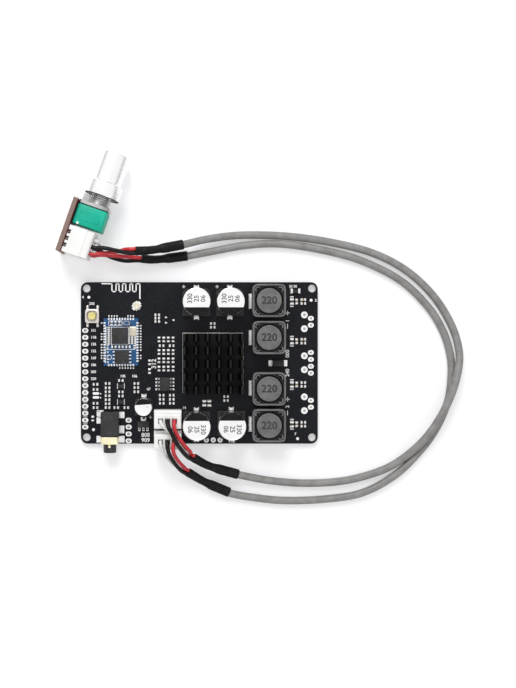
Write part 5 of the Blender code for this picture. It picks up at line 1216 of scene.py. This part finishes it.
def antenna_socket():
    """Small coaxial socket: a cream base with side pads, a gold contact ring and its centre pin."""
    base = block(2.7, 2.7, 0.0, 0.5, 0.2, 0.06, 16)
    tabs = together(block(3.8, 1.22, 0.0, 0.52, 0.1, 0.04, 12, 1),
                    land(1.1, 3.3, 0.1, 0.1, 0.03, 12, BOARD_TOP - SEAT))
    ring = turned([(1.0, 0.45), (1.0, 0.8), (0.92, 0.9), (0.98, 1.05), (1.0, 1.2), (0.94, 1.3), (0.8, 1.29),
                   (0.76, 1.2), (0.76, 0.45)], 48, ring=True)
    pin = turned([(0.7, 0.45), (0.7, 0.62), (0.3, 0.66), (0.3, 0.95), (0.2, 1.08), (0.08, 1.1)], 24)
    for name, shell, material, slot, solids in (
            ("socket_base", base, SOCKET_CREAM, "header_white", ["antenna_socket"]),
            ("socket_tabs", together(tabs, ring), SOLDER, "can_silver", []),
            ("socket_contacts", pin, GOLD, "socket_gold", [])):
        piece(name, repeated(shell, [(*ANTENNA_PLACE, SEAT)], ANTENNA_TURN), material, slot, solids)


# Headphone jack

def lying(shell):
    """Lay a shell built about Z along the jack's axis, so that its height runs towards -Y."""
    return placed(shell, (1, 0, 0), (0, 0, 1), (0, -1, 0), (JACK_X, 0, JACK_AXIS))


def headphone_jack():
    """Jack: black body with a bored nose, brass band, and tinned contact feet."""
    rows = [(6.1, 4.6, 0.3, 17.9), (6.5, 5.0, 0.4, 18.1), (6.5, 5.0, 0.4, 20.4), (6.42, 4.92, 0.4, 20.5),
            (6.42, 4.92, 0.4, 20.8), (6.5, 5.0, 0.4, 20.9), (6.5, 5.0, 0.4, 26.4), (6.2, 4.7, 0.3, 26.6)]
    rows += [(2 * r, 2 * r, r, z) for r, z in ((2.35, 26.62), (2.35, 32.45), (2.2, 32.7), (1.95, 32.7),
                                               (1.8, 32.55), (1.8, 21.0))]
    piece("jack_shell", lying(stacked(rows)), JACK_BLACK, "jack_black", ["jack_body"])
    lid = block(4.6, 6.4, 7.1, 7.16, 0.3, 0.02, 12, 1)
    piece("jack_lid", moved(lid, JACK_X, -22.6), JACK_BLACK, "jack_black")
    rows = [(6.3, 5.2, 0.9, 26.9), (6.5, 5.4, 1.0, 27.02), (6.5, 5.4, 1.0, 29.05), (6.3, 5.2, 0.95, 29.25),
            (5.9, 5.0, 0.9, 29.5), (5.6, 4.8, 0.9, 29.6)]
    rows += [(2 * r, 2 * r, r, z) for r, z in ((2.7, 29.6), (2.52, 29.45), (2.52, 26.9))]
    piece("jack_band", lying(stacked(rows, ring=True)), BRASS, "jack_brass", ["jack_sleeve"])
    tab = block(1.5, 1.9, SEAT, SEAT + 0.42, 0.15, 0.06, 12, 1)
    feet = [moved(land(length, width, 0.16, 0.2, 0.08, 12), x, y) for length, width, x, y in JACK_PADS]
    piece("jack_contacts", moved(together(repeated(tab, JACK_TABS), *feet), JACK_X), SOLDER, "can_silver")
    spring = turned([(0.45, 6.7), (0.45, 6.98), (0.34, 7.06), (0.12, 7.08)], 24)
    piece("jack_spring", moved(spring, JACK_X, -30.35), BRASS, "jack_brass")


# Wire headers and plugs

def edge_lines(marks, span, soft=0.06):
    """Grid lines beside each mark and at the ends of the span, close together where the surface steps."""
    ends = [side * (span / 2 - inset) for side in (-1, 1) for inset in (0.0, 0.12, 0.35)]
    return np.unique(np.round(ends + [mark + step * soft for mark in marks for step in (-1, 0, 1)], 4))


def plug_shell():
    """Wire plug with a round rim, three square cavities and a notch on the rear edge.

    The height is the rim's quarter round under the plug's top, less the depth of a well wherever |x - pin|
    and |y| are under half a cavity, and less the notch."""
    length, depth, half, well_depth, notch, rim_radius = 9.7, 5.55, 0.95, 4.0, 0.3, 0.35

    def height(x, y):
        rim = np.minimum(length / 2 - np.abs(x), depth / 2 - np.abs(y))
        inside = np.clip(rim_radius - rim, 0, None)
        drop = rim_radius - np.sqrt(np.clip(rim_radius ** 2 - inside ** 2, 0, None))
        aside = np.abs(x[..., None] - PINS).min(axis=-1)
        well = (aside < half) & (np.abs(y) < half)
        ledge = (y > 1.9) & (np.abs(x) < 3.6)
        return PLUG_TOP - drop - well_depth * well - notch * ledge

    xs = edge_lines([p + side * half for p in PINS for side in (-1, 1)], length)
    return relief(xs, edge_lines([-half, half, 1.9], depth), height, 7.05)


def contact_shells():
    """Crimped contact seen in each cavity: a small bent blade."""
    blade = block(1.1, 0.18, 6.2, 8.9, 0.05, 0.05, 8, 1)
    cheek = block(0.2, 1.0, 6.0, 8.2, 0.05, 0.05, 8, 1)
    contact = together(moved(blade, 0, 0.75), moved(cheek, 0.62, 0.2), moved(cheek, -0.62, 0.2))
    return repeated(contact, grid(PINS, [0]))


def control_point(u=0.0, v=0.0, w=0.0):
    """Point of the volume control, by its own directions."""
    return CONTROL_PLACE + CONTROL_U * u + CONTROL_V * v + CONTROL_UP * w


def on_control(shell, v, rise=0.0):
    """Turn a shell built on the board to stand on the small board of the control."""
    return placed(shell, CONTROL_V, CONTROL_UP, CONTROL_U, control_point(CONTROL_BOARD, v, rise))


def wire_headers():
    """Headers keep their solids; each plug is a finer piece with its contacts."""
    dress([f"{board}_header_{row}" for board in ("board", "control") for row in ROWS], NYLON)
    made = {}
    for board in ("board", "control"):
        for i, row in enumerate(ROWS):
            shells = plug_shell(), contact_shells()
            if board == "board":
                shell, contacts = (moved(s, *HEADER_PLACES[i], BOARD_TOP) for s in shells)
            else:
                shell, contacts = (on_control(s, CONTROL_PLUG[1], CONTROL_RISES[i]) for s in shells)
            made[f"{board}_{row}"] = piece(f"plug_{board}_{row}", shell, NYLON, "plug_white",
                                           [f"{board}_plug_{row}"])
            piece(f"contacts_{board}_{row}", contacts, TIN, "can_silver")
    return made


# Volume control

def on_axis(shell):
    """Lay a shell built about Z along the volume control's axis."""
    return placed(shell, CONTROL_U, -CONTROL_UP, CONTROL_V, CONTROL_PLACE)


def pot():
    """Green pot body with a rivet and a raised panel, and its plated front with the threaded neck."""
    body = block(11.2, 9.8, -12.5, -5.1, 0.8, 0.35, 32)
    panel = block(7.2, 0.3, -10.6, -7.0, 0.1, 0.08, 12, 1)
    lip = block(11.24, 9.84, -6.3, -6.1, 0.8, 0.02, 32, 1)
    green = moved(together(body, moved(panel, 0, -4.9), lip), POT_SHIFT)
    piece("pot_case", on_axis(green), POT_GREEN, "pot_green", ["pot_body"])
    rivet = turned([(0.45, -0.02), (0.42, 0.06), (0.25, 0.12), (0.1, 0.13)], 20)
    rivet = placed(rivet, CONTROL_U, CONTROL_V, CONTROL_UP, control_point(-4.6, -12.1, 4.86))
    piece("pot_rivet", rivet, TIN, "can_silver")
    plate, slim = (outline(11.2 - a, 9.8 - a, 0.8 - a / 4) + (POT_SHIFT, 0) for a in (0.0, 0.2))
    rows = [(slim, -4.8), (plate, -4.7), (plate, -3.6), (slim, -3.5)]
    rows += [(circle(3.9), -3.5), (circle(3.75), -3.35)]
    rows += [(circle(3.6 + 0.1 * math.sin(v * TURN / 0.75)), v) for v in np.arange(-3.3, 0.45, 0.09)]
    rows += [(circle(3.5), 0.6), (circle(3.3), 0.7), (circle(3.15), 0.7), (circle(3.15), -4.8)]
    key = block(2.5, 1.4, -3.6, -0.7, 0.2, 0.12, 12, 1)
    front = together(risen(rows, ring=True), moved(key, -5.1))
    piece("pot_front", on_axis(front), POT_STEEL, "pot_silver", ["pot_bushing"])


def knob():
    """Turned knob: a skirt, a step, a slightly tapered grip with a fine groove, and a hollow underside."""
    profile = [(5.7, 0.02), (6.3, 0.0), (6.52, 0.1), (6.6, 0.35), (6.6, 4.6), (6.52, 4.85), (6.25, 5.0),
               (5.95, 5.05), (5.75, 5.2), (5.62, 5.5), (5.56, 6.0), (5.5, 10.0), (5.45, 15.6), (5.4, 16.0),
               (5.2, 16.35), (4.85, 16.5), (4.5, 16.5), (4.42, 16.42), (4.3, 16.42), (4.22, 16.5),
               (1.0, 16.5), (0.9, 16.46), (0.2, 16.45), (0.2, 12.4), (3.25, 12.4), (3.3, 12.3), (3.3, 2.7),
               (3.4, 2.6), (5.6, 2.6), (5.7, 2.5)]
    piece("knob", on_axis(turned(profile, 128, ring=True)), KNOB_METAL, "knob_silver", ["volume_knob"],
          "volume_knob")
    # Black ring just past the skirt's bottom edge: painted shade of the gap between the knob and the pot's
    # front
    painted_shade_ring = [(5.75, 0.3), (5.75, -0.1), (5.85, -0.16), (6.3, -0.16), (6.4, -0.1), (6.4, 0.3)]
    piece("knob_painted_shade_ring", on_axis(turned(painted_shade_ring, 96, ring=True)), SLEEVE_BLACK, "knob_silver", [], "volume_knob")


def volume_control():
    """Small upright board with the solder on its back, pot, knob and shaft."""
    dress(["control_board"], PHENOLIC)
    dress(["pot_shaft"], SHAFT_METAL)
    tail = repeated(turned([(0.95, -1.6), (0.85, -1.7), (0.5, -1.95), (0.42, -2.35), (0.2, -2.38)], 20),
                    grid(PINS, [0]))
    lug = turned([(0.85, -1.6), (0.7, -1.7), (0.4, -1.95), (0.3, -2.3), (0.1, -2.36)], 20)
    joints = [on_control(tail, CONTROL_PLUG[1], rise) for rise in CONTROL_RISES]
    joints += [on_control(lug, v) for v in (-10.9, -8.9, -6.9)]
    piece("control_joints", together(*joints), SOLDER, "can_silver")
    pot()
    knob()


# Leads

def smooth_path(points, spacing):
    """Points spaced evenly along a Catmull-Rom curve:
    0.5(2b + (c - a)t + (2a - 5b + 4c - d)t^2 + (3b - a - 3c + d)t^3) between b and c."""
    nodes = np.asarray(points, float)
    nodes = np.concatenate([[2 * nodes[0] - nodes[1]], nodes, [2 * nodes[-1] - nodes[-2]]])
    a, b, c, d = (nodes[k:len(nodes) - 3 + k, None] for k in range(4))
    t = np.linspace(0, 1, 24, endpoint=False)[None, :, None]
    bend, twist = 2 * a - 5 * b + 4 * c - d, 3 * b - a - 3 * c + d
    curve = 0.5 * (2 * b + (c - a) * t + bend * t ** 2 + twist * t ** 3)
    fine = np.concatenate([curve.reshape(-1, 3), nodes[-2:-1]])
    run = np.concatenate([[0.0], np.cumsum(np.linalg.norm(np.diff(fine, axis=0), axis=1))])
    even = np.linspace(0, run[-1], max(3, round(run[-1] / spacing) + 1))
    return np.stack([np.interp(even, run, fine[:, k]) for k in range(3)], axis=-1)


def unit(vector):
    """Vector of length one."""
    return vector / np.linalg.norm(vector)


def sleeve_mouth(label):
    """Point just past a sleeve's wide end, and the way the cable leaves it."""
    middle, end = np.array(SLEEVE_ROUTES[label][1:])
    out = unit(end - middle)
    return end + out * GAP, out


def cable_path(label):
    """A cable from sleeve to sleeve, never lower than where it lies on the floor."""
    start, out = sleeve_mouth(f"{label}_control")
    finish, back = sleeve_mouth(f"{label}_board")
    route = [start, start + out * 2, CABLE_ROUTES[label], finish + back * 2, finish]
    path = smooth_path(np.vstack(route), 1.0)
    path[:, 2] = np.maximum(path[:, 2], FLOOR + CABLE_DIAMETER / 2)
    return path


def sleeve_shell(label):
    """Shrunk sleeve: it narrows over the wires, steps up over the jacket with soft wrinkles, and turns
    back inside its far end, where the cable goes in."""
    route = np.array(SLEEVE_ROUTES[label])
    path = smooth_path(np.vstack([route, route[-1] + unit(route[-1] - route[-2]) * 0.8]), 0.35)
    t = np.linspace(0, 1, len(path))
    mouth, waist, over = SLEEVE_WIDTHS
    radius = np.interp(t, (0, 0.38, 0.5, 0.56, 1.0), (mouth, waist, waist + 0.1, over, over)) / 2
    radius = radius - 0.03 + 0.03 * np.sin(t * 41) * np.sin(math.pi * t)
    radius[[0, -1]] -= 0.08
    bore = CABLE_DIAMETER / 2 + 0.02
    order = np.concatenate([np.arange(len(path)), len(path) - np.arange(1, 5)])
    return carried(circle(1.0, 28), path, np.concatenate([radius, [bore] * 4]), order)


def plug_exit(bundle, colour):
    """Where a wire enters its plug, and the way it leaves."""
    aside = WIRE_ORDER[colour] * PIN_PITCH
    row = 0 if bundle.startswith("first") else 1
    if bundle.endswith("board"):
        x, y = HEADER_PLACES[row]
        return np.array((x + aside, y, BOARD_TOP + PLUG_TOP)), CONTROL_UP
    return control_point(CONTROL_PLUG[0], CONTROL_PLUG[1] - aside, CONTROL_RISES[row]), CONTROL_U


def wire_shell(bundle, colour):
    """One wire from a plug's cavity to the end of the sleeve."""
    (aside, above), *middle = BUNDLES[bundle][colour]
    start, after = np.array(SLEEVE_ROUTES[bundle][:2])
    direction = unit(after - start)
    side = unit(np.cross(CONTROL_UP, direction))
    mouth, out = plug_exit(bundle, colour)
    end = start - direction * GAP + side * aside + np.cross(direction, side) * above
    route = np.vstack([mouth - out * 1.2, mouth + out * 0.1, mouth + out * 1.2, middle,
                       end - direction * 1.2, end + direction * 0.7])
    return carried(circle(WIRE_WIDTHS[colour] / 2, 16), smooth_path(route, 0.6))


def leads(plugs):
    """Both cables with their sleeves and wires."""
    for label, row in (("first", "upper"), ("second", "lower")):
        for end in ("control", "board"):
            bundle = f"{label}_{end}"
            piece(f"shrunk_sleeve_{bundle}", sleeve_shell(bundle), SLEEVE_BLACK, "sleeve_black",
                                [f"sleeve_{bundle}"])
            for colour, finish in WIRE_FINISHES.items():
                piece(f"lead_{colour}_{bundle}", wire_shell(bundle, colour), finish,
                                    f"wire_{colour}", [f"wire_{colour}_{bundle}"])
            plugs[f"{end}_{row}"]
        path = cable_path(label)
        tube = piece(f"grey_cable_{label}", carried(circle(CABLE_DIAMETER / 2, 28), path), CABLE_GREY,
                     "cable_grey", [f"cable_{label}"])


# Stage

def floor_finish():
    """Pale floor: plain white to light; to the camera and in reflections white with its shadows kept, its
    glow dimmed by ambient occlusion as painted shade under and beside the parts, and plain white again away
    from the part."""
    material = bpy.data.materials.new("floor_white")
    material.use_nodes = True
    tree = material.node_tree
    tree.nodes.clear()
    plain = add_node(tree, "BsdfDiffuse", {"Color": (0.8, 0.8, 0.8)})[0]
    shaded = add_node(tree, "BsdfDiffuse", {"Color": (0.7, 0.7, 0.72)})[0]
    # Painted shade: the floor's glow is dimmed by ambient occlusion under the board, in its holes and beside
    # the parts
    painted_occlusion_shade = add_node(tree, "AmbientOcclusion", {"Distance": 0.7 * MM})["Color"]
    floor_glow = add_node(tree, "Emission", {"Color": painted_occlusion_shade, "Strength": 0.42})[0]
    both = add_node(tree, "AddShader", {0: shaded, 1: floor_glow})[0]
    place = add_node(tree, "NewGeometry")["Position"]
    away = add_node(tree, "VectorMath", {0: place}, operation="LENGTH")["Value"]
    far = add_node(tree, "MapRange", {"Value": away, "From Min": FLOOR_FADE[0], "From Max": FLOOR_FADE[1]},
                   interpolation_type="SMOOTHSTEP")[0]
    faded = add_node(tree, "MixShader", {"Fac": far, 1: both, 2: add_node(tree, "Emission")[0]})[0]
    rays = add_node(tree, "LightPath")
    seen = add_node(tree, "Math", {0: rays["Is Camera Ray"], 1: rays["Is Glossy Ray"]},
                    operation="MAXIMUM")[0]
    seen = add_node(tree, "Math", {0: seen, 1: rays["Is Transmission Ray"]}, operation="MAXIMUM")[0]
    choose = add_node(tree, "MixShader", {"Fac": seen, 1: plain, 2: faded})[0]
    add_node(tree, "OutputMaterial", {"Surface": choose})
    return material


def lay_floor():
    """Floor just under the lowest pins: a wide disc, radius 1.5 m."""
    points, sizes, corners = turned([(FLOOR_RADIUS, FLOOR - 2.0), (FLOOR_RADIUS, FLOOR - 0.02)], 64)
    mesh = bpy.data.meshes.new("floor")
    mesh.from_pydata((points * MM).tolist(), [], [list(c) for c in np.split(corners, np.cumsum(sizes)[:-1])])
    mesh.materials.append(floor_finish())
    linked("floor", mesh)


def light_world():
    """Even studio light from all round: plain white to the camera, and in reflections darker near the
    horizon, as a table lit from above has it."""
    world = bpy.data.worlds.new("studio")
    bpy.context.scene.world = world
    world.use_nodes = True
    tree = world.node_tree
    rays = add_node(tree, "LightPath")
    direction = add_node(tree, "TexCoord")["Generated"]
    rise = add_node(tree, "SeparateXYZ", {0: direction})["Z"]
    height = add_node(tree, "MapRange", {"Value": rise, "From Min": 0.05, "From Max": 0.5, "To Min": 0.38,
                                         "To Max": 1.0}, interpolation_type="SMOOTHSTEP")[0]
    mirrored = add_node(tree, "Mix", {"Factor": rays["Is Glossy Ray"], "A": 0.56, "B": height})[0]
    seen = add_node(tree, "Math", {0: rays["Is Camera Ray"], 1: rays["Is Transmission Ray"]},
                    operation="MAXIMUM")[0]
    level = add_node(tree, "Mix", {"Factor": seen, "A": mirrored, "B": 1.0})[0]
    background = tree.nodes["Background"].inputs
    background["Color"].default_value = (1.0, 1.0, 1.0, 1.0)
    tree.links.new(level, background["Strength"])


def lamp(name, place, size, power):
    """Soft square lamp aimed at the origin."""
    light = bpy.data.lights.new(name, "AREA")
    light.shape = "SQUARE"
    light.size = size
    light.energy = power
    thing = linked(name, light)
    back = unit(np.array(place))
    side = unit(np.cross((0.0, 1.0, 0.001), back))
    matrix = np.eye(4)
    matrix[:3] = np.column_stack([side, np.cross(back, side), back, place])
    thing.matrix_world = Matrix(matrix.tolist())
    thing.visible_camera = False


def set_camera():
    """Camera straight above the board, framed by a small shift."""
    data = bpy.data.cameras.new("camera")
    data.lens = CAMERA_LENS
    data.shift_x, data.shift_y = CAMERA_SHIFT
    data.clip_start, data.clip_end = CAMERA_RANGE
    camera = linked("camera", data)
    camera.location = CAMERA_PLACE
    bpy.context.scene.camera = camera


main_board()
dress(["amplifier_chip"], EPOXY)
heatsink()
radio_module()
capacitors()
inductors()
mode_switch()
antenna_socket()
headphone_jack()
PLUGS = wire_headers()
volume_control()
leads(PLUGS)
lay_floor()
light_world()
lamp("rear_lamp", *REAR_LAMP)
lamp("front_lamp", *FRONT_LAMP)
set_camera()
bpy.context.scene.view_settings.view_transform = "Standard"
